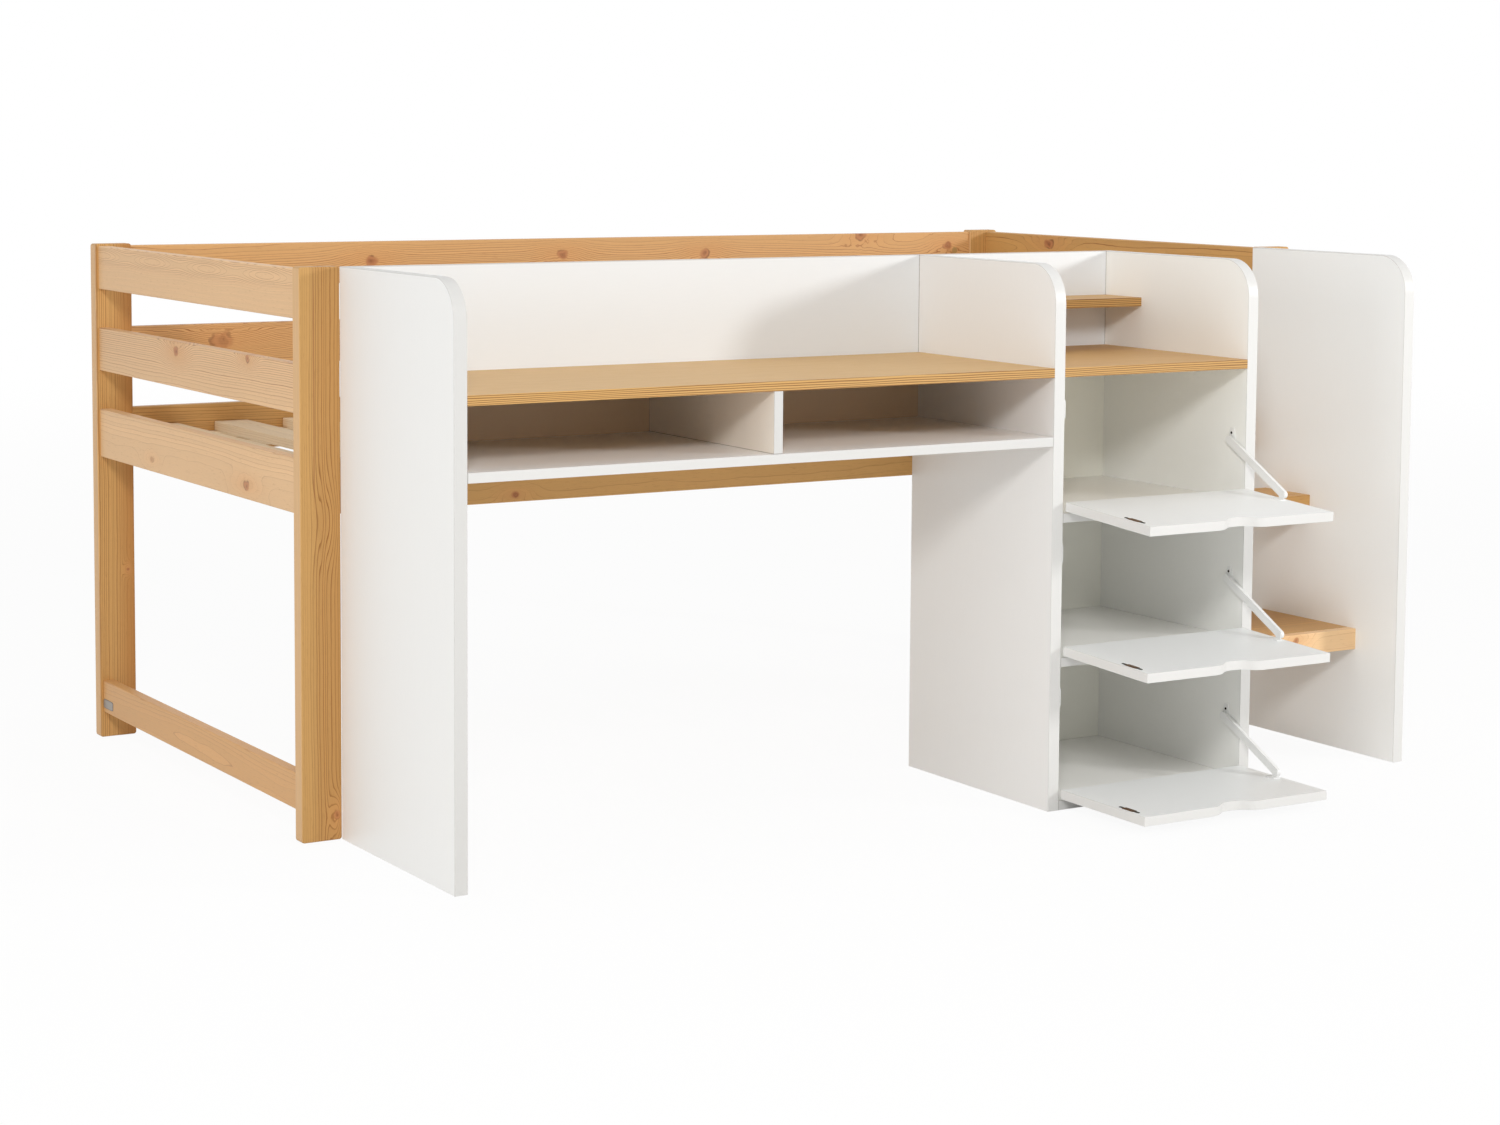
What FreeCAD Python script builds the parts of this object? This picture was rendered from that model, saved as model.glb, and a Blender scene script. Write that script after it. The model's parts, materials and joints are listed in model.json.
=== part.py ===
import FreeCAD, Part
import math
import os

# Cabin bed: a pine frame with guard rails and slats, and in front of it a white carcass
# with a desk, a column of three drop flaps and two steps.
# Millimetres. X runs along the bed, Y from the open flaps to the back of the bed, Z up.
# The origin is on the floor, under the middle of the whole bed with its flaps open.

# Room for the mattress
mattress_length = 2000.0
mattress_width = 900.0
mattress_end_room = 6.0
mattress_side_room = 17.0

# Posts, planks with the wide face to the front and back
post_width = 70.0
post_thickness = 28.0
post_height = 930.0
post_corner_radius = 5.0

# Rails
rail_thickness = 22.0
guard_rail_height = 80.0
bed_rail_height = 90.0
floor_rail_height = 60.0
floor_rail_lift = 48.0
guard_gap = 72.0
rail_drop = 4.0
end_rail_inset = 6.0
timber_edge_radius = 2.5

# Slats and the cleats that carry them
slat_count = 14
slat_width = 68.0
slat_thickness = 18.0
slat_end_offset = 65.0
slat_end_gap = 3.0
slat_edge_radius = 2.0
slat_drop = 34.0
cleat_width = 24.0
cleat_height = 30.0
cleat_end_gap = 40.0

# White carcass: upright panels, back panels and boards
panel_thickness = 22.0
panel_depth = 417.0
panel_corner_radius = 65.0
panel_edge_radius = 0.8
board_thickness = 16.0
board_edge_radius = 0.8
column_clear_width = 400.0
step_clear_width = 348.0
desk_rim_height = 174.0
cubby_clear_height = 100.0
small_shelf_drop = 81.0
small_shelf_depth = 105.0

# Steps, each a tread with a front board
step_front_thickness = 22.0
step_front_height = 39.0
tread_thickness = 18.0
tread_groove = 1.5
lower_step_drop = 236.0
lower_step_setback = 107.0
upper_step_drop = 119.0
upper_step_setback = 240.0
step_rear_setback = 49.0
step_cleat_size = 18.0
step_cleat_end_gap = 12.0

# Drop flaps, modelled open. Droops: degrees that each hangs below level, lower flap first
flap_droops = (0.4, 2.6, 3.9)
flap_thickness = 16.0
flap_hinge_gap = 4.0
flap_top_gap = 2.0
flap_side_gap = 2.0
flap_edge_radius = 0.8
grip_width = 106.0
grip_depth = 19.0
grip_slope_width = 50.0

# Butt hinges of the flaps
hinge_length = 42.0
hinge_end_offset = 48.0
leaf_thickness = 1.2
leaf_width = 14.0
hinge_pin_radius = 1.0
knuckle_gap = 0.3
knuckle_count = 3

# Flap stays: a channel bar on the flap that slides over a stud on the column panel
stay_width = 14.0
stay_thickness = 6.0
stay_web = 1.8
stay_end_length = 9.0
stay_foot_reach = 101.5
stay_foot_rise = 8.0
stay_pin_radius = 2.0
stay_stud_radius = 2.5
stay_stud_setback = 36.0
stay_stud_rise = 101.75
stay_stud_play = 1.0
stay_groove_start = 7.0
stay_play = 0.3
bracket_thickness = 1.5
bracket_width = 24.0
bracket_top_width = 9.0
bracket_below = 8.0
bracket_above = 22.0
bracket_screw_rise = 13.0
stay_side_gap = 1.0
foot_plate_length = 24.0
foot_plate_width = 14.0
foot_ear_length = 13.0
foot_ear_above = 4.5

# Magnetic catches and their strike plates
strike_length = 52.0
strike_width = 10.0
strike_thickness = 1.2
strike_side_offset = 6.0
strike_end_offset = 28.0
catch_width = 16.0
catch_depth = 18.0
catch_height = 32.0
catch_gap = 0.4
catch_edge_radius = 1.5

# Blank plate on the left floor rail
plate_length = 50.0
plate_height = 17.0
plate_thickness = 0.8
plate_end_offset = 2.0
plate_lift = 9.0
plate_corner_radius = 2.0

# Fixings
rail_dowel_radius = 5.0
rail_dowel_in_post = 20.0
rail_dowel_in_rail = 30.0
rail_dowel_edge = 18.0
stud_radius = 4.0
stud_in_post = 30.0
stud_in_rail = 48.0
barrel_radius = 7.0
barrel_length = 16.0
barrel_setback = 38.0
dowel_radius = 4.0
dowel_in_panel = 10.0
dowel_in_board = 20.0
desk_dowel_shares = (0.18, 0.82)
column_dowel_shares = (0.36, 0.66)
step_dowel_share = 0.5
screw_radius = 2.5
screw_head_radius = 5.0
screw_head_height = 3.0
screw_in_panel = 35.0
screw_edge = 22.0
stay_screw_radius = 1.5
stay_screw_head_radius = 3.4
stay_screw_head_height = 1.8
stay_screw_in_panel = 12.0

# Shared clearances
fit_clearance = 0.05
bore_end_gap = 0.5
overrun = 5.0

# Places that follow from the sizes above
bed_length = mattress_length + 2 * (mattress_end_room + rail_thickness + end_rail_inset)
bed_depth = mattress_width + 2 * (mattress_side_room + post_thickness)
left_x = -bed_length / 2
right_x = bed_length / 2
panel_height = post_height
desk_height = panel_height - desk_rim_height
flap_levels = ("lower", "middle", "upper")
compartment_height = desk_height / len(flap_levels) - board_thickness * (1 + 1 / len(flap_levels))
flap_length = compartment_height - flap_hinge_gap - flap_top_gap
hinge_radius = flap_hinge_gap / 2
flap_reach = 0.0
for droop in flap_droops:
    lean = math.radians(droop)
    board_reach = (hinge_radius + flap_length) * math.cos(lean)
    corner_reach = (hinge_radius + flap_thickness) * math.sin(lean)
    flap_reach = max(flap_reach, hinge_radius + board_reach + corner_reach)
whole_depth = flap_reach + panel_depth + bed_depth
front_y = -whole_depth / 2 + flap_reach
bed_front_y = front_y + panel_depth
bed_back_y = bed_front_y + bed_depth
board_rear_y = bed_front_y - board_thickness

# Rail levels, lower edges
top_rail_z = post_height - rail_drop - guard_rail_height
middle_rail_z = top_rail_z - guard_gap - guard_rail_height
bed_rail_z = middle_rail_z - guard_gap - bed_rail_height
slat_top_z = bed_rail_z + bed_rail_height - slat_drop
slat_z = slat_top_z - slat_thickness

# Step levels, upper faces: each so far below the slats or the step above it
upper_step_z = slat_top_z - upper_step_drop
lower_step_z = upper_step_z - lower_step_drop

# Panel places along the bed, left faces
left_panel_x = left_x + post_width
right_panel_x = right_x - post_width - panel_thickness
column_right_panel_x = right_panel_x - step_clear_width - panel_thickness
column_x = column_right_panel_x - column_clear_width
column_left_panel_x = column_x - panel_thickness
desk_x = left_panel_x + panel_thickness
desk_clear_width = column_left_panel_x - desk_x
steps_x = column_right_panel_x + panel_thickness

# Board levels, lower faces
desk_top_z = desk_height - board_thickness
desk_shelf_z = desk_top_z - cubby_clear_height - board_thickness
shelf_levels = []
for number in range(len(flap_levels)):
    shelf_levels.append(number * (compartment_height + board_thickness))

x_axis = FreeCAD.Vector(1, 0, 0)
y_axis = FreeCAD.Vector(0, 1, 0)
z_axis = FreeCAD.Vector(0, 0, 1)

pieces = {}
bores = {}


def block(x, y, z, length, depth, height):
    return Part.makeBox(length, depth, height, FreeCAD.Vector(x, y, z))


def rod(radius, length, start, axis):
    return Part.makeCylinder(radius, length, start, axis)


def edges_along(shape, axis):
    chosen = []
    for edge in shape.Edges:
        if isinstance(edge.Curve, Part.Line) and abs(edge.Curve.Direction.dot(axis)) > 0.999:
            chosen.append(edge)
    return chosen


def eased(shape, axis, radius):
    return shape.makeFillet(radius, edges_along(shape, axis))


def bore(name, radius, length, start, axis):
    bores.setdefault(name, []).append(rod(radius, length, start, axis))


def peg(radius, point, axis, first, first_length, second, second_length):
    # a pin from first into second that crosses their shared face at point, with both bores
    gap = fit_clearance + radius
    bore(first, gap, first_length + bore_end_gap + overrun, point + axis * overrun, -axis)
    bore(second, gap, second_length + bore_end_gap + overrun, point - axis * overrun, axis)
    return rod(radius, first_length + second_length, point - axis * first_length, axis)


# Posts
def post(x, y):
    plank = block(x, y, 0, post_width, post_thickness, post_height)
    plank = eased(plank, y_axis, post_corner_radius)
    return eased(plank, z_axis, timber_edge_radius)


back_post_y = bed_back_y - post_thickness
right_post_x = right_x - post_width
pieces["front_left_post"] = post(left_x, bed_front_y)
pieces["front_right_post"] = post(right_post_x, bed_front_y)
pieces["back_left_post"] = post(left_x, back_post_y)
pieces["back_right_post"] = post(right_post_x, back_post_y)

# End rails, between the posts of each end
end_rail_y = bed_front_y + post_thickness
end_rail_length = bed_depth - 2 * post_thickness
end_rails = (
    ("top_rail", top_rail_z, guard_rail_height),
    ("middle_rail", middle_rail_z, guard_rail_height),
    ("bed_rail", bed_rail_z, bed_rail_height),
    ("floor_rail", floor_rail_lift, floor_rail_height),
)
ends = (
    ("left", left_x + end_rail_inset),
    ("right", right_x - end_rail_inset - rail_thickness),
)
rail_dowels = []
for side, rail_x in ends:
    for rail, rail_z, rail_height in end_rails:
        name = side + "_" + rail
        bar = block(rail_x, end_rail_y, rail_z, rail_thickness, end_rail_length, rail_height)
        pieces[name] = eased(bar, y_axis, timber_edge_radius)
        for dowel_z in (rail_z + rail_dowel_edge, rail_z + rail_height - rail_dowel_edge):
            front_point = FreeCAD.Vector(rail_x + rail_thickness / 2, end_rail_y, dowel_z)
            rail_dowels.append(peg(rail_dowel_radius, front_point, y_axis, "front_" + side + "_post",
                                   rail_dowel_in_post, name, rail_dowel_in_rail))
            back_point = front_point + y_axis * end_rail_length
            rail_dowels.append(peg(rail_dowel_radius, back_point, y_axis, name,
                                   rail_dowel_in_rail, "back_" + side + "_post", rail_dowel_in_post))
pieces["end_rail_dowels"] = Part.makeCompound(rail_dowels)

# Side rails, between the ends, drawn up by studs and barrel nuts from inside the bed
side_rail_x = left_x + post_width
side_rail_length = bed_length - 2 * post_width
side_rails = (
    ("front_bed_rail", "front", bed_front_y, 1, bed_rail_z, bed_rail_height),
    ("back_bed_rail", "back", bed_back_y - rail_thickness, -1, bed_rail_z, bed_rail_height),
    ("back_middle_rail", "back", bed_back_y - rail_thickness, -1, middle_rail_z, guard_rail_height),
    ("back_top_rail", "back", bed_back_y - rail_thickness, -1, top_rail_z, guard_rail_height),
)
rail_studs = []
rail_nuts = []
for name, row, rail_y, inward, rail_z, rail_height in side_rails:
    bar = block(side_rail_x, rail_y, rail_z, side_rail_length, rail_thickness, rail_height)
    pieces[name] = eased(bar, x_axis, timber_edge_radius)
    middle = FreeCAD.Vector(side_rail_x, rail_y + rail_thickness / 2, rail_z + rail_height / 2)
    far = middle + x_axis * side_rail_length
    rail_studs.append(peg(stud_radius, middle, x_axis, row + "_left_post", stud_in_post,
                          name, stud_in_rail))
    rail_studs.append(peg(stud_radius, far, x_axis, name, stud_in_rail,
                          row + "_right_post", stud_in_post))
    inner_face_y = rail_y + rail_thickness * (1 + inward) / 2
    for nut_x in (side_rail_x + barrel_setback, side_rail_x + side_rail_length - barrel_setback):
        mouth = FreeCAD.Vector(nut_x, inner_face_y, middle.z)
        into = y_axis * -inward
        bore(name, barrel_radius + fit_clearance, barrel_length + overrun, mouth - into * overrun, into)
        nut = rod(barrel_radius, barrel_length, mouth, into)
        cross = rod(stud_radius + fit_clearance, 2 * (barrel_radius + overrun),
                    FreeCAD.Vector(nut_x - barrel_radius - overrun, middle.y, middle.z), x_axis)
        rail_nuts.append(nut.cut(cross))
pieces["side_rail_studs"] = Part.makeCompound(rail_studs)
pieces["side_rail_nuts"] = Part.makeCompound(rail_nuts)

# Cleats along the bed rails, and the slats that lie on them
cleat_length = side_rail_length - 2 * cleat_end_gap
cleat_z = slat_z - cleat_height
cleat_x = side_rail_x + cleat_end_gap
front_cleat_y = bed_front_y + rail_thickness
back_cleat_y = bed_back_y - rail_thickness - cleat_width
pieces["front_slat_cleat"] = block(cleat_x, front_cleat_y, cleat_z, cleat_length, cleat_width, cleat_height)
pieces["back_slat_cleat"] = block(cleat_x, back_cleat_y, cleat_z, cleat_length, cleat_width, cleat_height)
inner_left_x = left_x + end_rail_inset + rail_thickness
first_slat_x = inner_left_x + slat_end_offset
slat_span = mattress_length + 2 * (mattress_end_room - slat_end_offset) - slat_width
slat_y = bed_front_y + rail_thickness + slat_end_gap
slat_length = bed_depth - 2 * (rail_thickness + slat_end_gap)
slats = []
for number in range(slat_count):
    slat_x = first_slat_x + slat_span * number / (slat_count - 1)
    slat = block(slat_x, slat_y, slat_z, slat_width, slat_length, slat_thickness)
    slats.append(eased(slat, y_axis, slat_edge_radius))
pieces["bed_slats"] = Part.makeCompound(slats)

# Blank plate on the left floor rail
plate_x = left_x + end_rail_inset - plate_thickness
plate_y = end_rail_y + end_rail_length - plate_end_offset - plate_length
plate_z = floor_rail_lift + plate_lift
plate = block(plate_x, plate_y, plate_z, plate_thickness, plate_length, plate_height)
pieces["blank_plate"] = eased(plate, x_axis, plate_corner_radius)


# Upright panels with a round upper front corner
def panel(x):
    radius = panel_corner_radius
    arc_rise = radius * math.sin(math.pi / 4)
    arc_run = radius * math.cos(math.pi / 4)
    arc_y = front_y + radius
    arc_z = panel_height - radius
    floor_front = FreeCAD.Vector(x, front_y, 0)
    arc_low = FreeCAD.Vector(x, front_y, arc_z)
    arc_middle = FreeCAD.Vector(x, arc_y - arc_run, arc_z + arc_rise)
    arc_high = FreeCAD.Vector(x, arc_y, panel_height)
    top_rear = FreeCAD.Vector(x, bed_front_y, panel_height)
    floor_rear = FreeCAD.Vector(x, bed_front_y, 0)
    outline = Part.Wire([
        Part.LineSegment(floor_front, arc_low).toShape(),
        Part.Arc(arc_low, arc_middle, arc_high).toShape(),
        Part.LineSegment(arc_high, top_rear).toShape(),
        Part.LineSegment(top_rear, floor_rear).toShape(),
        Part.LineSegment(floor_rear, floor_front).toShape(),
    ])
    slab = Part.Face(outline).extrude(x_axis * panel_thickness)
    rim = []
    for edge in slab.Edges:
        on_front = edge.CenterOfMass.y < bed_front_y and edge.CenterOfMass.z > 0
        along_x = isinstance(edge.Curve, Part.Line) and abs(edge.Curve.Direction.x) > 0.999
        if on_front and not along_x:
            rim.append(edge)
    return slab.makeFillet(panel_edge_radius, rim)


panel_places = (
    ("left_panel", left_panel_x),
    ("column_left_panel", column_left_panel_x),
    ("column_right_panel", column_right_panel_x),
    ("right_panel", right_panel_x),
)
for name, panel_x in panel_places:
    pieces[name] = panel(panel_x)

# Back panels, flush with the rear edges of the uprights
desk_back_height = panel_height - desk_shelf_z
pieces["desk_back_panel"] = block(desk_x, board_rear_y, desk_shelf_z, desk_clear_width,
                                  board_thickness, desk_back_height)
pieces["column_back_panel"] = block(column_x, board_rear_y, 0, column_clear_width,
                                    board_thickness, panel_height)

# Boards between the uprights
board_depth = panel_depth - board_thickness
small_shelf_z = panel_height - small_shelf_drop - board_thickness


def board(x, z, width, depth):
    slab = block(x, board_rear_y - depth, z, width, depth, board_thickness)
    front = []
    for edge in edges_along(slab, x_axis):
        if edge.CenterOfMass.y < board_rear_y - depth / 2:
            front.append(edge)
    return slab.makeFillet(board_edge_radius, front)


pieces["desk_top"] = board(desk_x, desk_top_z, desk_clear_width, board_depth)
pieces["desk_shelf"] = board(desk_x, desk_shelf_z, desk_clear_width, board_depth)
pieces["column_worktop"] = board(column_x, desk_top_z, column_clear_width, board_depth)
pieces["small_shelf"] = board(column_x, small_shelf_z, column_clear_width, small_shelf_depth)
pieces["column_floor"] = board(column_x, shelf_levels[0], column_clear_width, board_depth)
pieces["lower_column_shelf"] = board(column_x, shelf_levels[1], column_clear_width, board_depth)
pieces["upper_column_shelf"] = board(column_x, shelf_levels[2], column_clear_width, board_depth)
divider_x = desk_x + (desk_clear_width - board_thickness) / 2
divider = block(divider_x, front_y, desk_shelf_z + board_thickness, board_thickness, board_depth,
                cubby_clear_height)
pieces["desk_divider"] = divider

# Dowels between the boards and the uprights
board_dowels = []
dowelled_boards = (
    ("desk_top", desk_top_z, board_depth, desk_x, desk_clear_width, desk_dowel_shares,
     "left_panel", "column_left_panel"),
    ("desk_shelf", desk_shelf_z, board_depth, desk_x, desk_clear_width, desk_dowel_shares,
     "left_panel", "column_left_panel"),
    ("column_worktop", desk_top_z, board_depth, column_x, column_clear_width, column_dowel_shares,
     "column_left_panel", "column_right_panel"),
    ("small_shelf", small_shelf_z, small_shelf_depth, column_x, column_clear_width, desk_dowel_shares,
     "column_left_panel", "column_right_panel"),
    ("column_floor", shelf_levels[0], board_depth, column_x, column_clear_width, column_dowel_shares,
     "column_left_panel", "column_right_panel"),
    ("lower_column_shelf", shelf_levels[1], board_depth, column_x, column_clear_width,
     column_dowel_shares, "column_left_panel", "column_right_panel"),
    ("upper_column_shelf", shelf_levels[2], board_depth, column_x, column_clear_width,
     column_dowel_shares, "column_left_panel", "column_right_panel"),
)
for name, board_z, depth, board_x, width, shares, left_neighbour, right_neighbour in dowelled_boards:
    for share in shares:
        left_point = FreeCAD.Vector(board_x, board_rear_y - depth * share, board_z + board_thickness / 2)
        right_point = left_point + x_axis * width
        board_dowels.append(peg(dowel_radius, left_point, x_axis, left_neighbour, dowel_in_panel,
                                name, dowel_in_board))
        board_dowels.append(peg(dowel_radius, right_point, x_axis, name, dowel_in_board,
                                right_neighbour, dowel_in_panel))

# Steps between the column and the right panel
step_rear_y = bed_front_y - step_rear_setback
step_places = (
    ("lower", lower_step_z, front_y + lower_step_setback),
    ("upper", upper_step_z, front_y + upper_step_setback),
)
step_cleats = []
for level, top_z, step_front_y in step_places:
    tread_y = step_front_y + step_front_thickness
    tread_depth = step_rear_y - tread_y
    tread_z = top_z - tread_thickness
    tread = block(steps_x, tread_y, tread_z, step_clear_width, tread_depth, tread_thickness)
    front_board = block(steps_x, step_front_y, top_z - step_front_height, step_clear_width,
                        step_front_thickness, step_front_height)
    seam = []
    for edge in edges_along(tread, x_axis):
        if edge.CenterOfMass.z > tread_z + tread_thickness / 2:
            seam.append(edge)
    pieces[level + "_tread"] = tread.makeChamfer(tread_groove, seam)
    pieces[level + "_step_front"] = eased(front_board, x_axis, tread_groove)
    cleat_depth = tread_depth - 2 * step_cleat_end_gap
    for step_cleat_x in (steps_x, steps_x + step_clear_width - step_cleat_size):
        step_cleats.append(block(step_cleat_x, tread_y + step_cleat_end_gap, tread_z - step_cleat_size,
                                 step_cleat_size, cleat_depth, step_cleat_size))
    tread_left = FreeCAD.Vector(steps_x, tread_y + tread_depth * step_dowel_share,
                                tread_z + tread_thickness / 2)
    front_left = FreeCAD.Vector(steps_x, step_front_y + step_front_thickness / 2,
                                top_z - step_front_height / 2)
    for name, start in ((level + "_tread", tread_left), (level + "_step_front", front_left)):
        board_dowels.append(peg(dowel_radius, start, x_axis, "column_right_panel", dowel_in_panel,
                                name, dowel_in_board))
        board_dowels.append(peg(dowel_radius, start + x_axis * step_clear_width, x_axis, name,
                                dowel_in_board, "right_panel", dowel_in_panel))
pieces["step_cleats"] = Part.makeCompound(step_cleats)
pieces["board_dowels"] = Part.makeCompound(board_dowels)

# Screws from inside the bed, through the front bed rail into the rear edges of the uprights
carcass_screws = []
for name, panel_x in panel_places:
    for screw_z in (bed_rail_z + screw_edge, bed_rail_z + bed_rail_height - screw_edge):
        head = FreeCAD.Vector(panel_x + panel_thickness / 2, bed_front_y + rail_thickness, screw_z)
        shank_length = rail_thickness + screw_in_panel - screw_head_height
        shank_start = head - y_axis * screw_head_height
        shank = rod(screw_radius, shank_length, shank_start, -y_axis)
        cap = rod(screw_head_radius, screw_head_height, shank_start, y_axis)
        carcass_screws.append(shank.fuse(cap).removeSplitter())
        bore("front_bed_rail", screw_radius + fit_clearance, rail_thickness + 2 * overrun,
             head + y_axis * overrun, -y_axis)
        bore("front_bed_rail", screw_head_radius + fit_clearance, screw_head_height + overrun,
             shank_start, y_axis)
        bore("front_slat_cleat", screw_head_radius + overrun, cleat_width + 2 * overrun,
             head - y_axis * overrun, y_axis)
        bore(name, screw_radius + fit_clearance, screw_in_panel + bore_end_gap + overrun,
             head - y_axis * (rail_thickness - overrun), -y_axis)
pieces["carcass_screws"] = Part.makeCompound(carcass_screws)

# Drop flaps, open, with their hinges, strike plates and stays
flap_x = column_x + flap_side_gap
flap_width = column_clear_width - 2 * flap_side_gap
flap_rear_y = front_y - flap_hinge_gap
flap_free_y = flap_rear_y - flap_length
hinge_y = front_y - hinge_radius
stay_x = column_right_panel_x - bracket_thickness - stay_side_gap - stay_thickness
ear_x = stay_x - stay_play - bracket_thickness
stud_y = front_y + stay_stud_setback
foot_y = flap_rear_y - stay_foot_reach


def s_curve(start, end):
    # two equal arcs, square to the free edge's normal at both ends
    width = end.x - start.x
    depth = end.y - start.y
    radius = (width ** 2 + depth ** 2) / (4 * abs(depth))
    half_turn = math.atan2(abs(depth), abs(width))
    run = math.copysign(radius * math.sin(half_turn), width)
    rise = math.copysign(radius * (1 - math.cos(half_turn)), depth)
    middle = (start + end) * 0.5
    first = FreeCAD.Vector(start.x + run, start.y + rise, start.z)
    second = FreeCAD.Vector(end.x - run, end.y - rise, end.z)
    return [Part.Arc(start, first, middle).toShape(), Part.Arc(middle, second, end).toShape()]


def flap_board(z):
    grip_x = flap_x + (flap_width - grip_width) / 2
    grip_end_x = grip_x + grip_width
    rear_left = FreeCAD.Vector(flap_x, flap_rear_y, z)
    rear_right = FreeCAD.Vector(flap_x + flap_width, flap_rear_y, z)
    free_left = FreeCAD.Vector(flap_x, flap_free_y, z)
    free_right = FreeCAD.Vector(flap_x + flap_width, flap_free_y, z)
    grip_start = FreeCAD.Vector(grip_x, flap_free_y, z)
    grip_left = FreeCAD.Vector(grip_x + grip_slope_width, flap_free_y + grip_depth, z)
    grip_right = FreeCAD.Vector(grip_end_x - grip_slope_width, flap_free_y + grip_depth, z)
    grip_end = FreeCAD.Vector(grip_end_x, flap_free_y, z)
    edges = [
        Part.LineSegment(rear_left, free_left).toShape(),
        Part.LineSegment(free_left, grip_start).toShape(),
    ]
    edges += s_curve(grip_start, grip_left)
    edges.append(Part.LineSegment(grip_left, grip_right).toShape())
    edges += s_curve(grip_right, grip_end)
    edges.append(Part.LineSegment(grip_end, free_right).toShape())
    edges.append(Part.LineSegment(free_right, rear_right).toShape())
    edges.append(Part.LineSegment(rear_right, rear_left).toShape())
    slab = Part.Face(Part.Wire(edges)).extrude(z_axis * flap_thickness)
    sides = []
    for edge in edges_along(slab, y_axis) + edges_along(slab, x_axis):
        if edge.CenterOfMass.y > flap_free_y + grip_depth:
            sides.append(edge)
    return slab.makeFillet(flap_edge_radius, sides)


def hinge_leaves(x, hinge_z):
    # the fixed leaf lies on the shelf and holds the pin, the flap's leaf stands on its rear edge
    centre = FreeCAD.Vector(x, hinge_y, hinge_z)
    barrel = rod(hinge_radius, hinge_length, centre, x_axis)
    pin = rod(hinge_pin_radius, hinge_length, centre, x_axis)
    segment = hinge_length / knuckle_count
    middle_zone = block(x + segment, hinge_y - leaf_width - overrun, hinge_z - leaf_width - overrun,
                        segment, 2 * (leaf_width + overrun), 2 * (leaf_width + overrun))
    flap_zone = block(x + segment - knuckle_gap, hinge_y - leaf_width - overrun,
                      hinge_z - leaf_width - overrun, segment + 2 * knuckle_gap,
                      2 * (leaf_width + overrun), 2 * (leaf_width + overrun))
    relief = rod(hinge_radius + knuckle_gap, hinge_length, centre, x_axis)
    lying = block(x, hinge_y, hinge_z - hinge_radius, hinge_length, leaf_width, leaf_thickness)
    standing = block(x, hinge_y - hinge_radius, hinge_z, hinge_length, leaf_thickness, leaf_width)
    fixed_plate = lying.cut(relief).fuse(lying.common(middle_zone))
    fixed = fixed_plate.fuse(barrel.common(middle_zone)).fuse(pin).removeSplitter()
    flap_plate = standing.cut(relief).fuse(standing.cut(flap_zone))
    bored = rod(hinge_pin_radius + fit_clearance, hinge_length, centre, x_axis)
    flap_leaf = flap_plate.fuse(barrel.cut(flap_zone)).cut(bored).removeSplitter()
    return fixed, flap_leaf


def stay_foot(flap_top_z):
    # plate and ear on the flap, with the pin that carries the bar
    pin_z = flap_top_z + stay_foot_rise
    base = block(ear_x + bracket_thickness - foot_plate_width, foot_y - foot_plate_length / 2, flap_top_z,
                 foot_plate_width, foot_plate_length, bracket_thickness)
    ear = block(ear_x, foot_y - foot_ear_length / 2, flap_top_z, bracket_thickness, foot_ear_length,
                stay_foot_rise + foot_ear_above)
    pin = rod(stay_pin_radius, stay_thickness + stay_play + bracket_thickness / 2,
              FreeCAD.Vector(ear_x + bracket_thickness / 2, foot_y, pin_z), x_axis)
    return base.fuse(ear).fuse(pin).removeSplitter()


def rounded_bar(start_reach, end_reach, width, x, thickness, y, z):
    # a bar along Y with round ends, whose end centres lie at the two reaches from y
    body = block(x, y + start_reach, z - width / 2, thickness, end_reach - start_reach, width)
    head = rod(width / 2, thickness, FreeCAD.Vector(x, y + start_reach, z), x_axis)
    tail = rod(width / 2, thickness, FreeCAD.Vector(x, y + end_reach, z), x_axis)
    return body.fuse(head).fuse(tail).removeSplitter()


def stay_bar(pin_y, pin_z, stud_z):
    # the bar's channel faces the column panel and runs over the stud as the flap shuts
    rise = stud_z - pin_z
    run = stud_y - pin_y
    reach = math.hypot(run, rise)
    groove_width = 2 * (stay_stud_radius + stay_stud_play)
    bar = rounded_bar(0, reach + stay_end_length - stay_width / 2, stay_width, stay_x, stay_thickness,
                      pin_y, pin_z)
    groove = rounded_bar(stay_groove_start + groove_width / 2, reach, groove_width, stay_x + stay_web,
                         stay_thickness, pin_y, pin_z)
    eye = rod(stay_pin_radius + fit_clearance, stay_thickness + 2 * overrun,
              FreeCAD.Vector(stay_x - overrun, pin_y, pin_z), x_axis)
    bar = bar.cut(groove).cut(eye)
    bar.rotate(FreeCAD.Vector(stay_x, pin_y, pin_z), x_axis, math.degrees(math.atan2(rise, run)))
    return bar


def stay_bracket(stud_z):
    # a tapered plate on the column panel with the stud that guides the bar
    plate_face_x = column_right_panel_x - bracket_thickness
    low = stud_z - bracket_below
    high = stud_z + bracket_above
    corners = (
        FreeCAD.Vector(plate_face_x, stud_y - bracket_width / 2, low),
        FreeCAD.Vector(plate_face_x, stud_y + bracket_width / 2, low),
        FreeCAD.Vector(plate_face_x, stud_y + bracket_top_width / 2, high),
        FreeCAD.Vector(plate_face_x, stud_y - bracket_top_width / 2, high),
    )
    tapered = Part.Face(Part.makePolygon(corners + (corners[0],))).extrude(x_axis * bracket_thickness)
    stud_length = stay_side_gap + stay_thickness - stay_web - stay_play
    stud = rod(stay_stud_radius, stud_length, FreeCAD.Vector(plate_face_x, stud_y, stud_z), -x_axis)
    hole = rod(stay_screw_radius + fit_clearance, bracket_thickness + 2 * overrun,
               FreeCAD.Vector(plate_face_x - overrun, stud_y, stud_z + bracket_screw_rise), x_axis)
    return tapered.fuse(stud).cut(hole).removeSplitter()


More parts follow.
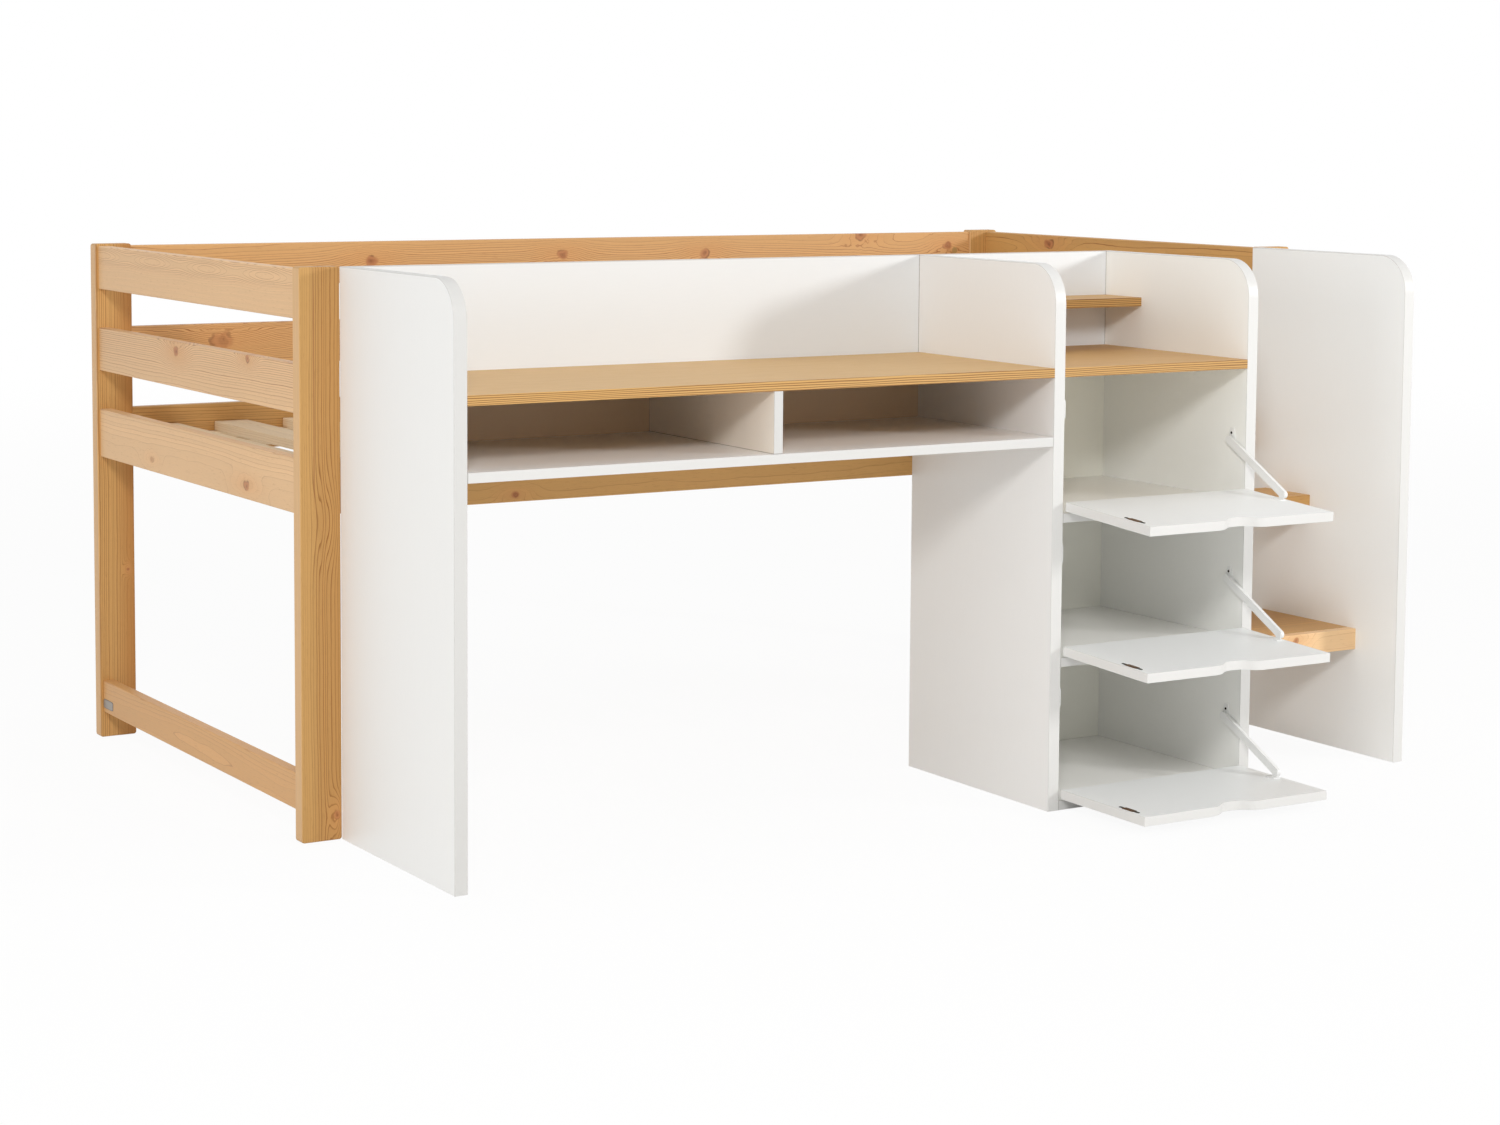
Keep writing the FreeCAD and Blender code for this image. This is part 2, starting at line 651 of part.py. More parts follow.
def stay_screw(stud_z):
    face = FreeCAD.Vector(column_right_panel_x - bracket_thickness, stud_y, stud_z + bracket_screw_rise)
    head = rod(stay_screw_head_radius, stay_screw_head_height, face, -x_axis)
    shank = rod(stay_screw_radius, bracket_thickness + stay_screw_in_panel, face, x_axis)
    bore("column_right_panel", stay_screw_radius + fit_clearance,
         bracket_thickness + stay_screw_in_panel + bore_end_gap, face, x_axis)
    return head.fuse(shank).removeSplitter()


fixed_leaves = []
brackets = []
bracket_screws = []
catches = []
for flap_name, shelf_z, droop in zip(flap_levels, shelf_levels, flap_droops):
    shelf_top_z = shelf_z + board_thickness
    hinge_z = shelf_top_z + hinge_radius
    flap_z = shelf_top_z + flap_hinge_gap
    flap_top_z = flap_z + flap_thickness
    stud_z = shelf_top_z + stay_stud_rise
    moving_leaves = []
    for leaf_x in (flap_x + hinge_end_offset, flap_x + flap_width - hinge_end_offset - hinge_length):
        fixed_leaf, flap_leaf = hinge_leaves(leaf_x, hinge_z)
        fixed_leaves.append(fixed_leaf)
        moving_leaves.append(flap_leaf)
    strike = block(flap_x + strike_side_offset, flap_free_y + strike_end_offset, flap_top_z, strike_width,
                   strike_length, strike_thickness)
    flap_pieces = {
        flap_name + "_flap": flap_board(flap_z),
        flap_name + "_flap_fittings": Part.makeCompound(moving_leaves + [stay_foot(flap_top_z)]),
        flap_name + "_strike_plate": strike,
    }
    hinge_point = FreeCAD.Vector(stay_x, hinge_y, hinge_z)
    for name, shape in flap_pieces.items():
        pieces[name] = shape.rotated(hinge_point, x_axis, droop)
    level_pin = FreeCAD.Vector(stay_x, foot_y, flap_top_z + stay_foot_rise)
    pin = hinge_point + FreeCAD.Rotation(x_axis, droop).multVec(level_pin - hinge_point)
    pieces[flap_name + "_stay"] = stay_bar(pin.y, pin.z, stud_z)
    brackets.append(stay_bracket(stud_z))
    bracket_screws.append(stay_screw(stud_z))
    strike_middle = shelf_top_z + compartment_height - flap_top_gap - strike_end_offset - strike_length / 2
    catch_y = front_y + flap_thickness + strike_thickness + catch_gap
    catch = block(column_x, catch_y, strike_middle - catch_height / 2, catch_width, catch_depth, catch_height)
    catches.append(eased(catch, y_axis, catch_edge_radius))
pieces["shelf_hinge_leaves"] = Part.makeCompound(fixed_leaves)
pieces["stay_brackets"] = Part.makeCompound(brackets)
pieces["stay_bracket_screws"] = Part.makeCompound(bracket_screws)
pieces["magnetic_catches"] = Part.makeCompound(catches)

# Bores for the fixings, then one file for each piece
for name, cutters in bores.items():
    pieces[name] = pieces[name].cut(cutters)
os.makedirs("parts", exist_ok=True)
for name, shape in pieces.items():
    shape.exportStep("parts/" + name + ".step")
print(len(pieces), "pieces, bed", bed_length, "by", whole_depth, "by", post_height)
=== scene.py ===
import json
import math
import bpy
import numpy as np
from mathutils import Matrix, Vector


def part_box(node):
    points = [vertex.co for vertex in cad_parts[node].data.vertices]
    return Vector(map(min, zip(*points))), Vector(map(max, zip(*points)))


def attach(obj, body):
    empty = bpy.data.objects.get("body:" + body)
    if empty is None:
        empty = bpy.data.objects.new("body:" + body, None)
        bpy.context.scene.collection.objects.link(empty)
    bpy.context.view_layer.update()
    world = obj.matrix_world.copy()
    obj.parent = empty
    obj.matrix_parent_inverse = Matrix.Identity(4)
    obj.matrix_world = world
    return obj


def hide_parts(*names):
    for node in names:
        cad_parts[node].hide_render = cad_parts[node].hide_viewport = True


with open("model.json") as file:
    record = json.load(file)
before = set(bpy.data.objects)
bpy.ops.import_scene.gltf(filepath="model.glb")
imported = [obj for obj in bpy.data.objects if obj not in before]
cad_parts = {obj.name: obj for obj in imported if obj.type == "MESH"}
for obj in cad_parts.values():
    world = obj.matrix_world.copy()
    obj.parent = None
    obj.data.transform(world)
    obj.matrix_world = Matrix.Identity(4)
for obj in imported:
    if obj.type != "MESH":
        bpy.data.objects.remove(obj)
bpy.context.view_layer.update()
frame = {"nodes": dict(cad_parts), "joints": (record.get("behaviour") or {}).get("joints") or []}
nodes = frame["nodes"]
print("frame loaded,", len(nodes), "nodes")


def linear(red, green, blue):
    # 0-255 screen colour to the linear colour that sockets hold, by the sRGB curve
    shares = np.array([red, green, blue]) / 255.0
    curve = np.where(shares <= 0.04045, shares / 12.92, ((shares + 0.055) / 1.055) ** 2.4)
    return (*curve.tolist(), 1.0)


class Sock:
    # one shader socket that takes Python arithmetic
    def __init__(self, tree, out=None):
        self.tree = tree
        self.out = out

    def make(self, kind, settings=None, values=None, pick=0):
        # any node: its settings first, then values or links by socket name or number
        made = self.tree.nodes.new(kind)
        for name, setting in (settings or {}).items():
            setattr(made, name, setting)
        for key, value in (values or {}).items():
            if isinstance(value, Sock):
                self.tree.links.new(value.out, made.inputs[key])
            else:
                made.inputs[key].default_value = value
        return Sock(self.tree, made.outputs[pick] if made.outputs else None)

    def sum(self, operation, *terms):
        # one Math node
        return self.make("ShaderNodeMath", {"operation": operation}, dict(enumerate(terms)))

    def __add__(self, other):
        return self.sum("ADD", self, other)

    def __sub__(self, other):
        return self.sum("SUBTRACT", self, other)

    def __rsub__(self, other):
        return self.sum("SUBTRACT", other, self)

    def __mul__(self, other):
        return self.sum("MULTIPLY", self, other)

    def __truediv__(self, other):
        return self.sum("DIVIDE", self, other)

    def __pow__(self, other):
        return self.sum("POWER", self, other)

    __radd__ = __add__
    __rmul__ = __mul__

    def ramp(self, low, high):
        # smooth step from 0 at low to 1 at high
        values = {"Value": self, "From Min": low, "From Max": high}
        return self.make("ShaderNodeMapRange", {"interpolation_type": "SMOOTHSTEP"}, values)

    def band(self, low, high, soft):
        # 1 between low and high, and 0 further than soft outside them
        return self.ramp(low - soft, low) * (1.0 - self.ramp(high, high + soft))

    def split(self):
        return [self.make("ShaderNodeSeparateXYZ", values={0: self}, pick=axis) for axis in range(3)]

    def stretch(self, scale, shift):
        return self.make("ShaderNodeMapping", values={"Vector": self, "Scale": scale, "Location": shift})

    def noise(self, detail):
        return self.make("ShaderNodeTexNoise", values={"Vector": self, "Scale": 1.0, "Detail": detail})

    def tint(self, other, share):
        # this colour mixed towards another
        return colour(self, self, other, share)

    def scaled(self, factor):
        return self.make("ShaderNodeVectorMath", {"operation": "SCALE"}, {0: self, "Scale": factor})


def colour(root, first, second, share):
    # a Mix node on colours: sockets 0, 6 and 7 are the share and the two colours, output 2 is the mix
    mixed = {0: share, 6: first, 7: second}
    return root.make("ShaderNodeMix", {"data_type": "RGBA"}, mixed, 2)


def newSkin(name):
    # an empty node material, with the object's own coordinates
    skin = bpy.data.materials.new(name)
    skin.use_nodes = True
    skin.node_tree.nodes.clear()
    root = Sock(skin.node_tree)
    return skin, root, root.make("ShaderNodeTexCoord", pick="Object")


def closeSkin(skin, root, base, rough, height, bump, **fixed):
    # bump: how deep in metres, and how strong
    depth, strength = bump
    bumped = {"Height": height, "Strength": strength, "Distance": depth}
    values = {"Base Color": base, "Roughness": rough, "Normal": root.make("ShaderNodeBump", values=bumped)}
    for name, value in fixed.items():
        values[name.replace("_", " ")] = value
    surface = root.make("ShaderNodeBsdfPrincipled", values=values)
    root.make("ShaderNodeOutputMaterial", values={"Surface": surface})
    return skin


def dress(node, skin):
    mesh = nodes[node].data
    mesh.materials.clear()
    mesh.materials.append(skin)


# Camera at the photograph's place: metres and degrees, with the image taken as 1500 by 1125
cameraLook = {"place": (-2.884, -4.560, 1.163), "yaw": 31.508, "pitch": -4.992, "roll": 0.404,
              "focalPixels": 2974.2, "shiftY": -0.12, "sensor": 36.0, "imageWidth": 1500, "clipEnd": 200.0}


def placeCamera(look):
    lens = bpy.data.cameras.new("camera")
    lens.sensor_width = look["sensor"]
    lens.lens = look["focalPixels"] * look["sensor"] / look["imageWidth"]
    lens.shift_y = look["shiftY"]
    lens.clip_end = look["clipEnd"]
    eye = bpy.data.objects.new("camera", lens)
    yaw, pitch, roll = (math.radians(look[turn]) for turn in ("yaw", "pitch", "roll"))
    turn = Matrix.Rotation(-yaw, 4, "Z") @ Matrix.Rotation(math.pi / 2 + pitch, 4, "X")
    eye.matrix_world = Matrix.Translation(look["place"]) @ turn @ Matrix.Rotation(roll, 4, "Z")
    bpy.context.scene.collection.objects.link(eye)
    bpy.context.scene.camera = eye


placeCamera(cameraLook)

# Light: an even white room, a low key from the right, fills from the front left and the left, and a
# lamp overhead. The floor lies a hair below the feet, and glows white for what sees it directly.
lightLook = {"room": 0.55, "floorGlow": 0.93, "floorSize": 90.0, "floorDrop": 0.0006, "glowNear": 2.5,
             "glowFar": 9.0, "floorPaint": ((243, 242, 240), (248, 247, 246)), "speck": 3.0}
lamps = {
    "front_fill": {"place": (-2.95, -4.60, 2.98), "size": 0.8, "power": 108.0},
    "left_fill": {"place": (-5.69, -1.30, 1.95), "size": 1.8, "power": 34.0},
    "key": {"place": (3.89, -4.41, 1.95), "size": 0.6, "power": 103.0},
    "overhead": {"place": (0.0, 0.50, 6.42), "size": 2.0, "power": 37.0},
}
lampAim = (0.0, -0.1, 0.45)


def seenDirectly(root):
    # 1 for what the camera, gloss or glass sees, and 0 for what only lights the object
    rays = ("Is Camera Ray", "Is Glossy Ray", "Is Transmission Ray")
    camera, glossy, through = (root.make("ShaderNodeLightPath", pick=ray) for ray in rays)
    return camera.sum("MAXIMUM", camera, glossy.sum("MAXIMUM", glossy, through))


def setLight(look):
    world = bpy.data.worlds.new("room")
    bpy.context.scene.world = world
    world.use_nodes = True
    world.node_tree.nodes.clear()
    root = Sock(world.node_tree)
    strength = seenDirectly(root) * (1.0 - look["room"]) + look["room"]
    sky = root.make("ShaderNodeBackground", values={"Color": (1, 1, 1, 1), "Strength": strength})
    root.make("ShaderNodeOutputWorld", values={"Surface": sky})
    for name, lamp in lamps.items():
        light = bpy.data.lights.new(name, "AREA")
        light.energy = lamp["power"]
        light.size = lamp["size"]
        holder = bpy.data.objects.new(name, light)
        holder.location = lamp["place"]
        aim = Vector(lampAim) - Vector(lamp["place"])
        holder.rotation_euler = aim.to_track_quat("-Z", "Y").to_euler()
        bpy.context.scene.collection.objects.link(holder)


def layFloor(look):
    half = look["floorSize"] / 2
    drop = look["floorDrop"]
    corners = [(-half, -half, -drop), (half, -half, -drop), (half, half, -drop), (-half, half, -drop)]
    mesh = bpy.data.meshes.new("studio_floor")
    mesh.from_pydata(corners, [], [(0, 1, 2, 3)])
    floor = bpy.data.objects.new("studio_floor", mesh)
    bpy.context.scene.collection.objects.link(floor)
    skin, root, place = newSkin("studio_floor")
    speck = place.stretch((look["speck"],) * 3, (0, 0, 0)).noise(3.0)
    first, second = look["floorPaint"]
    paint = colour(root, linear(*first), linear(*second), speck)
    matt = root.make("ShaderNodeBsdfDiffuse", values={"Color": paint})
    glow = root.make("ShaderNodeEmission", values={"Color": (1, 1, 1, 1), "Strength": 1.0})
    away = root.make("ShaderNodeVectorMath", {"operation": "LENGTH"}, {0: place}, 1)
    far = away.ramp(look["glowNear"], look["glowFar"])
    share = seenDirectly(root) * (far * (1.0 - look["floorGlow"]) + look["floorGlow"])
    mixed = root.make("ShaderNodeMixShader", values={0: share, 1: matt, 2: glow})
    root.make("ShaderNodeOutputMaterial", values={"Surface": mixed})
    mesh.materials.append(skin)


setLight(lightLook)
layFloor(lightLook)
bpy.context.scene.view_settings.view_transform = "Standard"
print("camera, light and floor set")

# Pine boards: metres, from the board's own middle.
# axes: along the grain, across the face, through the board. pith: where the log's middle lies, across
# and through. line, lineWidth, spacing: how strong, wide and far apart the ring lines are.
# drift: how far the pith wanders across and through. swell: how far, over what length and from what
# phase it waves through the board. fade: from where to where, away from the pith's line, the ring lines
# grow faint. heartwood: from where to where across the face, and how far, the wood turns redder.
# knots: along, across, radius, stretch along the grain, darkness. push: how many rings a knot bends.
# bends: along, across, radius, stretch and push of a bend with no knot. streaks: across, width, and
# from where to where along. sideLight: how light a post's narrow sides are. seam: how wide a dark line
# runs along the board's front edge.
pineTones = {
    "peach": {"early": (227, 187, 140), "late": (150, 90, 52), "heart": (206, 156, 108)},
    "fresh": {"early": (238, 199, 151), "late": (170, 106, 62), "heart": (214, 164, 112)},
    "honey": {"early": (216, 167, 110), "late": (146, 84, 42), "heart": (196, 134, 76)},
    "gold": {"early": (206, 158, 95), "late": (136, 82, 36), "heart": (180, 122, 62)},
    "tan": {"early": (196, 151, 90), "late": (126, 80, 34), "heart": (178, 122, 62)},
    "raw": {"early": (236, 215, 182), "late": (200, 166, 122), "heart": (216, 188, 150)},
}
knotTones = {"heart": (186, 124, 78), "rings": (142, 82, 46), "bark": (76, 40, 22), "halo": (210, 150, 92)}
# warp and twist: scale and size of a knot's wobble. spread: how fast its bend fades along and across.
# heart, crescent, eye: from where to where, in knot radii. crescentSide: at which wobble the bark shows.
knotLook = {"warp": (38.0, 1.5), "twist": (52.0, 1.3), "twistStart": 3.0, "spread": (0.05, 0.20),
            "halo": 0.5, "coils": (7.0, 9.0), "coilShade": 0.3, "heart": (0.7, 1.15),
            "crescent": (0.86, 0.98, 0.16), "crescentSide": (0.02, 0.16), "eye": (0.03, 0.22), "bark": 0.45}
# Noises of the grain: cells per metre along and across, where each starts in the noise, and its detail
grains = {"drift": (1.1, 0.0, 3.1, 1.0), "dip": (2.6, 0.0, 7.7, 1.0), "ripple": (9.0, 40.0, 11.3, 2.0),
          "fibre": (16.0, 1100.0, 17.9, 2.0), "tick": (60.0, 800.0, 23.7, 2.0),
          "slow": (1.6, 12.0, 29.1, 2.0)}
pineLook = {"line": 0.85, "lineWidth": 0.0012, "spacing": 0.0030, "drift": (0.020, 0.007), "ripple": 0.7,
            "fibre": 0.13, "tick": 0.20, "rough": 0.46, "push": 4.0, "swell": (0.0, 0.3, 0.0), "streaks": (),
            "bends": (), "knots": (), "fade": (0.2, 0.3), "heartwood": (0.02, 0.05, 0.0), "sideLight": 0.0,
            "seam": 0.0, "seamDark": 0.7, "seedStep": 5.3, "tickAt": (0.60, 0.72), "uneven": (110.0, 2.2),
            "lineShare": (0.07, 0.42), "lineEdge": (0.25, 1.15), "lineStart": 0.03, "lineDark": (0.6, 0.4),
            "ringShade": 0.16, "fadeShare": 0.8, "heartWander": 0.004, "sideEdge": (0.0012, 0.0002),
            "streakWander": 0.006, "streakSoft": 0.1, "streakDark": 0.6, "slow": 0.14, "ringTone": 0.08,
            "shade": 0.96, "lineRise": 0.5, "fibreRise": 0.9, "tickDepth": 0.5, "fibreRough": 0.12,
            "lineGloss": 0.06, "bump": (0.00025, 0.35), "gloss": 0.3, "varnish": 0.05, "varnishRough": 0.3}
endRail = {"axes": (1, 2, 0), "pith": (0.0, 0.055)}
sideRail = {"axes": (0, 2, 1), "pith": (0.0, 0.060), "line": 0.95, "spacing": 0.0026}
postBoard = {"axes": (2, 0, 1), "pith": (0.085, 0.050), "spacing": 0.0040, "lineWidth": 0.0013,
             "sideLight": 0.6, "halfWidth": 0.035}
treadBoard = {"axes": (0, 1, 2), "pith": (0.06, -0.07), "seam": 0.0016}
boards = {
    "left_top_rail": {**endRail, "tone": "peach", "seed": 1.0, "pith": (0.024, 0.0065), "line": 0.75,
                      "drift": (0.008, 0.001), "swell": (0.0026, 0.26, 0.35), "spacing": 0.0016,
                      "fade": (0.009, 0.024), "ripple": 0.5},
    "left_middle_rail": {**endRail, "tone": "peach", "seed": 2.0, "pith": (-0.055, 0.045), "push": 7.0,
                         "line": 0.8, "knots": ((0.068, 0.024, 0.0108, 1.15, 0.95),
                                                (-0.261, 0.034, 0.007, 1.2, 0.8))},
    "left_bed_rail": {**endRail, "tone": "peach", "seed": 3.0, "pith": (-0.03, 0.11), "line": 0.55,
                      "knots": ((-0.252, -0.021, 0.0085, 1.7, 0.85), (0.194, -0.022, 0.006, 1.5, 0.45))},
    "left_floor_rail": {**endRail, "tone": "honey", "seed": 4.0, "pith": (-0.01, 0.05), "line": 0.55},
    "right_top_rail": {**endRail, "tone": "gold", "seed": 5.0, "pith": (0.01, -0.06),
                       "knots": ((0.237, 0.022, 0.011, 1.4, 1.0),)},
    "right_middle_rail": {**endRail, "tone": "honey", "seed": 6.0, "pith": (-0.02, -0.06),
                          "knots": ((-0.12, 0.012, 0.008, 1.3, 0.8),)},
    "right_bed_rail": {**endRail, "tone": "peach", "seed": 7.0, "pith": (0.02, -0.07),
                       "knots": ((0.31, -0.02, 0.009, 1.4, 0.8), (-0.28, 0.018, 0.006, 1.3, 0.6))},
    "right_floor_rail": {**endRail, "tone": "honey", "seed": 8.0, "pith": (0.0, -0.05)},
    "back_top_rail": {**sideRail, "tone": "honey", "seed": 9.0, "pith": (0.045, 0.040),
                      "drift": (0.055, 0.008),
                      "knots": ((-0.474, 0.002, 0.011, 1.3, 1.0), (-0.051, 0.008, 0.010, 1.3, 0.9),
                                (0.287, 0.005, 0.010, 1.4, 0.9), (0.678, 0.037, 0.011, 1.3, 0.9),
                                (0.905, 0.012, 0.009, 1.3, 0.9))},
    "back_middle_rail": {**sideRail, "tone": "honey", "seed": 10.0, "pith": (-0.050, 0.035), "push": 6.0,
                         "knots": ((-0.782, 0.010, 0.018, 1.2, 0.65), (0.36, -0.018, 0.010, 1.3, 0.8))},
    "back_bed_rail": {**sideRail, "tone": "gold", "seed": 11.0, "pith": (0.06, 0.05),
                      "knots": ((0.12, 0.02, 0.011, 1.3, 0.9), (-0.55, -0.015, 0.008, 1.4, 0.8))},
    "front_bed_rail": {**sideRail, "tone": "gold", "seed": 12.0, "pith": (-0.01, -0.10), "line": 0.45,
                       "knots": ((-0.651, -0.033, 0.006, 1.2, 1.0), (0.45, 0.01, 0.007, 1.3, 0.7))},
    "front_left_post": {**postBoard, "tone": "tan", "seed": 13.0, "line": 1.2, "lineWidth": 0.0017,
                        "heartwood": (-0.018, 0.004, 0.30), "fade": (0.088, 0.106),
                        "knots": ((-0.424, 0.026, 0.006, 1.2, 0.8),),
                        "bends": ((0.055, 0.012, 0.017, 2.6, 3.0),),
                        "streaks": ((-0.010, 0.0009, 0.15, 0.40),)},
    "back_left_post": {**postBoard, "tone": "gold", "seed": 14.0, "line": 0.9,
                       "heartwood": (-0.01, 0.035, 0.8),
                       "knots": ((-0.149, 0.0215, 0.0035, 0.8, 1.0),)},
    "front_right_post": {**postBoard, "tone": "gold", "seed": 15.0, "line": 0.8},
    "back_right_post": {**postBoard, "tone": "gold", "seed": 16.0, "line": 0.8,
                        "knots": ((0.11, -0.008, 0.009, 1.3, 0.9),)},
    "lower_tread": {**treadBoard, "tone": "gold", "seed": 17.0, "spacing": 0.007},
    "upper_tread": {**treadBoard, "tone": "gold", "seed": 18.0, "spacing": 0.007},
    "lower_step_front": {**sideRail, "tone": "fresh", "seed": 19.0, "line": 0.6, "pith": (0.0, 0.05),
                         "knots": ((0.0278, 0.0085, 0.0065, 1.2, 0.8),)},
    "upper_step_front": {**sideRail, "tone": "gold", "seed": 20.0, "pith": (0.005, 0.05)},
    "front_slat_cleat": {**sideRail, "tone": "raw", "seed": 21.0, "rough": 0.72},
    "back_slat_cleat": {**sideRail, "tone": "raw", "seed": 22.0, "rough": 0.72},
    "step_cleats": {"axes": (1, 2, 0), "pith": (0.02, 0.05), "tone": "raw", "seed": 23.0, "rough": 0.72},
}


def byAxes(axes, along, across, through):
    # a vector in object axes from its parts along, across and through the board
    parts = [0.0, 0.0, 0.0]
    for axis, part in zip(axes, (along, across, through)):
        parts[axis] = part
    return parts


def pineColour(root, place, look, along, across, through):
    # rings are shells round a wandering pith line: ring number = distance from the pith / ring width.
    # The late wood is the last part of each ring, a line of about the same width wherever the face
    # cuts the shells. A knot is a round column through the board, and the ring number rises round it,
    # further along the grain than across, so that lines flow past it.
    warpScale, warpSize = knotLook["warp"]
    twistScale, twistSize = knotLook["twist"]
    runSpread, riseSpread = knotLook["spread"]
    coilTurns, coilWarp = knotLook["coils"]

    def grain(name):
        lengthwise, crosswise, offset, detail = grains[name]
        scale = byAxes(look["axes"], lengthwise, crosswise, crosswise)
        return place.stretch(scale, (look["seed"] * look["seedStep"], offset, 0)).noise(detail)

    drift = grain("drift") - 0.5
    dip = grain("dip") - 0.5
    ripple = grain("ripple") - 0.5
    fibre = grain("fibre") - 0.5
    tick = grain("tick").ramp(*look["tickAt"])
    slow = grain("slow") - 0.5
    offAcross = across - look["pith"][0] - drift * look["drift"][0]
    offThrough = through - look["pith"][1] - dip * look["drift"][1]
    swellSize, swellLength, swellStart = look["swell"]
    if swellSize:
        wave = along * (2 * math.pi / swellLength) + swellStart
        offThrough = offThrough - wave.sum("SINE", wave) * swellSize
    reach = (offAcross * offAcross + offThrough * offThrough) ** 0.5
    unevenScale, unevenSize = look["uneven"]
    shells = root.make("ShaderNodeCombineXYZ", values={0: reach * unevenScale, 1: look["seed"]})
    uneven = shells.noise(1.0) - 0.5
    rings = reach / look["spacing"] + ripple * look["ripple"] + uneven * unevenSize
    fields = []
    for lengthwise, crosswise, radius, stretch, dark in look["knots"]:
        warp = place.stretch((warpScale,) * 3, (lengthwise, 0, 0)).noise(2.0) - 0.5
        twist = place.stretch((twistScale,) * 3, (0, lengthwise, knotLook["twistStart"])).noise(2.0) - 0.5
        runs = (along - lengthwise) * (1 / (radius * stretch)) + warp * warpSize
        rise = (across - crosswise) * (1 / radius) + twist * twistSize
        away = (runs * runs + rise * rise) ** 0.5
        spread = (runs * runs * runSpread + rise * rise * riseSpread) * -1.0
        rings = rings + spread.sum("EXPONENT", spread) * look["push"]
        fields.append((away, spread, warp, dark))
    for lengthwise, crosswise, radius, stretch, push in look["bends"]:
        # a bell curve round the bend's middle
        runs = (along - lengthwise) * (1 / (radius * stretch))
        rise = (across - crosswise) * (1 / radius)
        spread = (runs * runs + rise * rise) * -0.5
        rings = rings + spread.sum("EXPONENT", spread) * push
    whole = rings.sum("FLOOR", rings)
    ringTone = root.make("ShaderNodeTexWhiteNoise", {"noise_dimensions": "1D"}, {"W": whole})
    aside = offAcross.sum("ABSOLUTE", offAcross)
    slope = aside / reach
    wide = slope * (look["lineWidth"] / look["spacing"])
    least, most = look["lineShare"]
    share = wide.make("ShaderNodeClamp", values={"Value": wide, "Min": least, "Max": most})
    part = 1.0 - (rings - whole)
    darkRange, darkLeast = look["lineDark"]
    late = (1.0 - (part / share).ramp(*look["lineEdge"])) * part.ramp(0.0, look["lineStart"])
    late = late * (ringTone * darkRange + darkLeast)
    towards = (1.0 - part) * (1.0 - part) * slope * look["ringShade"]
    late = (late + towards) * (1.0 - aside.ramp(*look["fade"]) * look["fadeShare"])
    tone = pineTones[look["tone"]]
    base = colour(root, linear(*tone["early"]), linear(*tone["late"]), late * look["line"])
    heartStart, heartFull, heartShare = look["heartwood"]
    redder = (across + ripple * look["heartWander"]).ramp(heartStart, heartFull)
    base = base.tint(linear(*tone["heart"]), redder * heartShare)
    base = base.tint(linear(*tone["late"]), tick * look["tick"])
    if look["sideLight"]:
        edgeStart, edgeFull = (look["halfWidth"] - inset for inset in look["sideEdge"])
        edge = across.sum("ABSOLUTE", across).ramp(edgeStart, edgeFull)
        base = base.tint(linear(*pineTones["peach"]["early"]), edge * look["sideLight"])
    for crosswise, width, lowEnd, highEnd in look["streaks"]:
        line = (across - crosswise - drift * look["streakWander"]).band(-width / 2, width / 2, width)
        line = line * along.band(lowEnd, highEnd, look["streakSoft"])
        base = base.tint(linear(*knotTones["rings"]), line * look["streakDark"])
    shade = fibre * look["fibre"] + slow * look["slow"] + ringTone * look["ringTone"] + look["shade"]
    base = base.scaled(shade)
    for away, spread, warp, dark in fields:
        glow = spread.sum("EXPONENT", spread)
        base = base.tint(linear(*knotTones["halo"]), glow * knotLook["halo"] * dark)
        coils = away * coilTurns + warp * coilWarp
        coilShare = coils.sum("SINE", coils) * knotLook["coilShade"] + knotLook["coilShade"]
        heart = colour(root, linear(*knotTones["heart"]), linear(*knotTones["rings"]), coilShare)
        base = base.tint(heart, (1.0 - away.ramp(*knotLook["heart"])) * dark)
        crescent = away.band(*knotLook["crescent"]) * warp.ramp(*knotLook["crescentSide"])
        eye = 1.0 - away.ramp(*knotLook["eye"])
        for mark in (crescent, eye):
            base = base.tint(linear(*knotTones["bark"]), mark * knotLook["bark"] * dark)
    height = late * look["lineRise"] + fibre * look["fibreRise"] - tick * look["tickDepth"]
    rough = fibre * look["fibreRough"] + (look["rough"] - late * look["lineGloss"])
    return base, rough, height


def dressBoards():
    for node, board in boards.items():
        look = {**pineLook, **board}
        skin, root, place = newSkin("pine_" + node)
        low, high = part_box(node)
        middle = (low + high) / 2
        parts = place.split()
        along, across, through = (parts[axis] - middle[axis] for axis in look["axes"])
        base, rough, height = pineColour(root, place, look, along, across, through)
        if look["seam"]:
            joint = (parts[1] - low.y).ramp(look["seam"] / 2, look["seam"])
            base = base.tint(linear(*knotTones["bark"]), (1.0 - joint) * look["seamDark"])
        dress(node, closeSkin(skin, root, base, rough, height, look["bump"], Coat_Weight=look["varnish"],
                              Coat_Roughness=look["varnishRough"], Specular_IOR_Level=look["gloss"]))


dressBoards()
print("pine boards dressed,", len(boards))

# Slats: bare sawn pine, each with its own figure. figureStep: how far the figure moves from slat to slat.
# saw: the marks' phase in radians per metre across and along the slat. faceDepth, faceSoft: where the
# sawn under and top faces end.
slatLook = {**pineLook, "axes": (1, 0, 2), "tone": "raw", "pith": (0.01, -0.05), "rough": 0.75, "tick": 0.25,
            "fibre": 0.16, "line": 0.7, "seed": 24.0, "first": -0.941, "pitch": 0.1395, "width": 0.068,
            "figureStep": (3.7, 1.9), "saw": (60.0, 420.0), "sawShade": 0.02, "sawRise": 0.25,
            "faceDepth": (0.0025, 0.0006), "faceSoft": 0.0004, "slatShade": (0.10, 0.93),
            "bump": (0.0003, 0.5)}


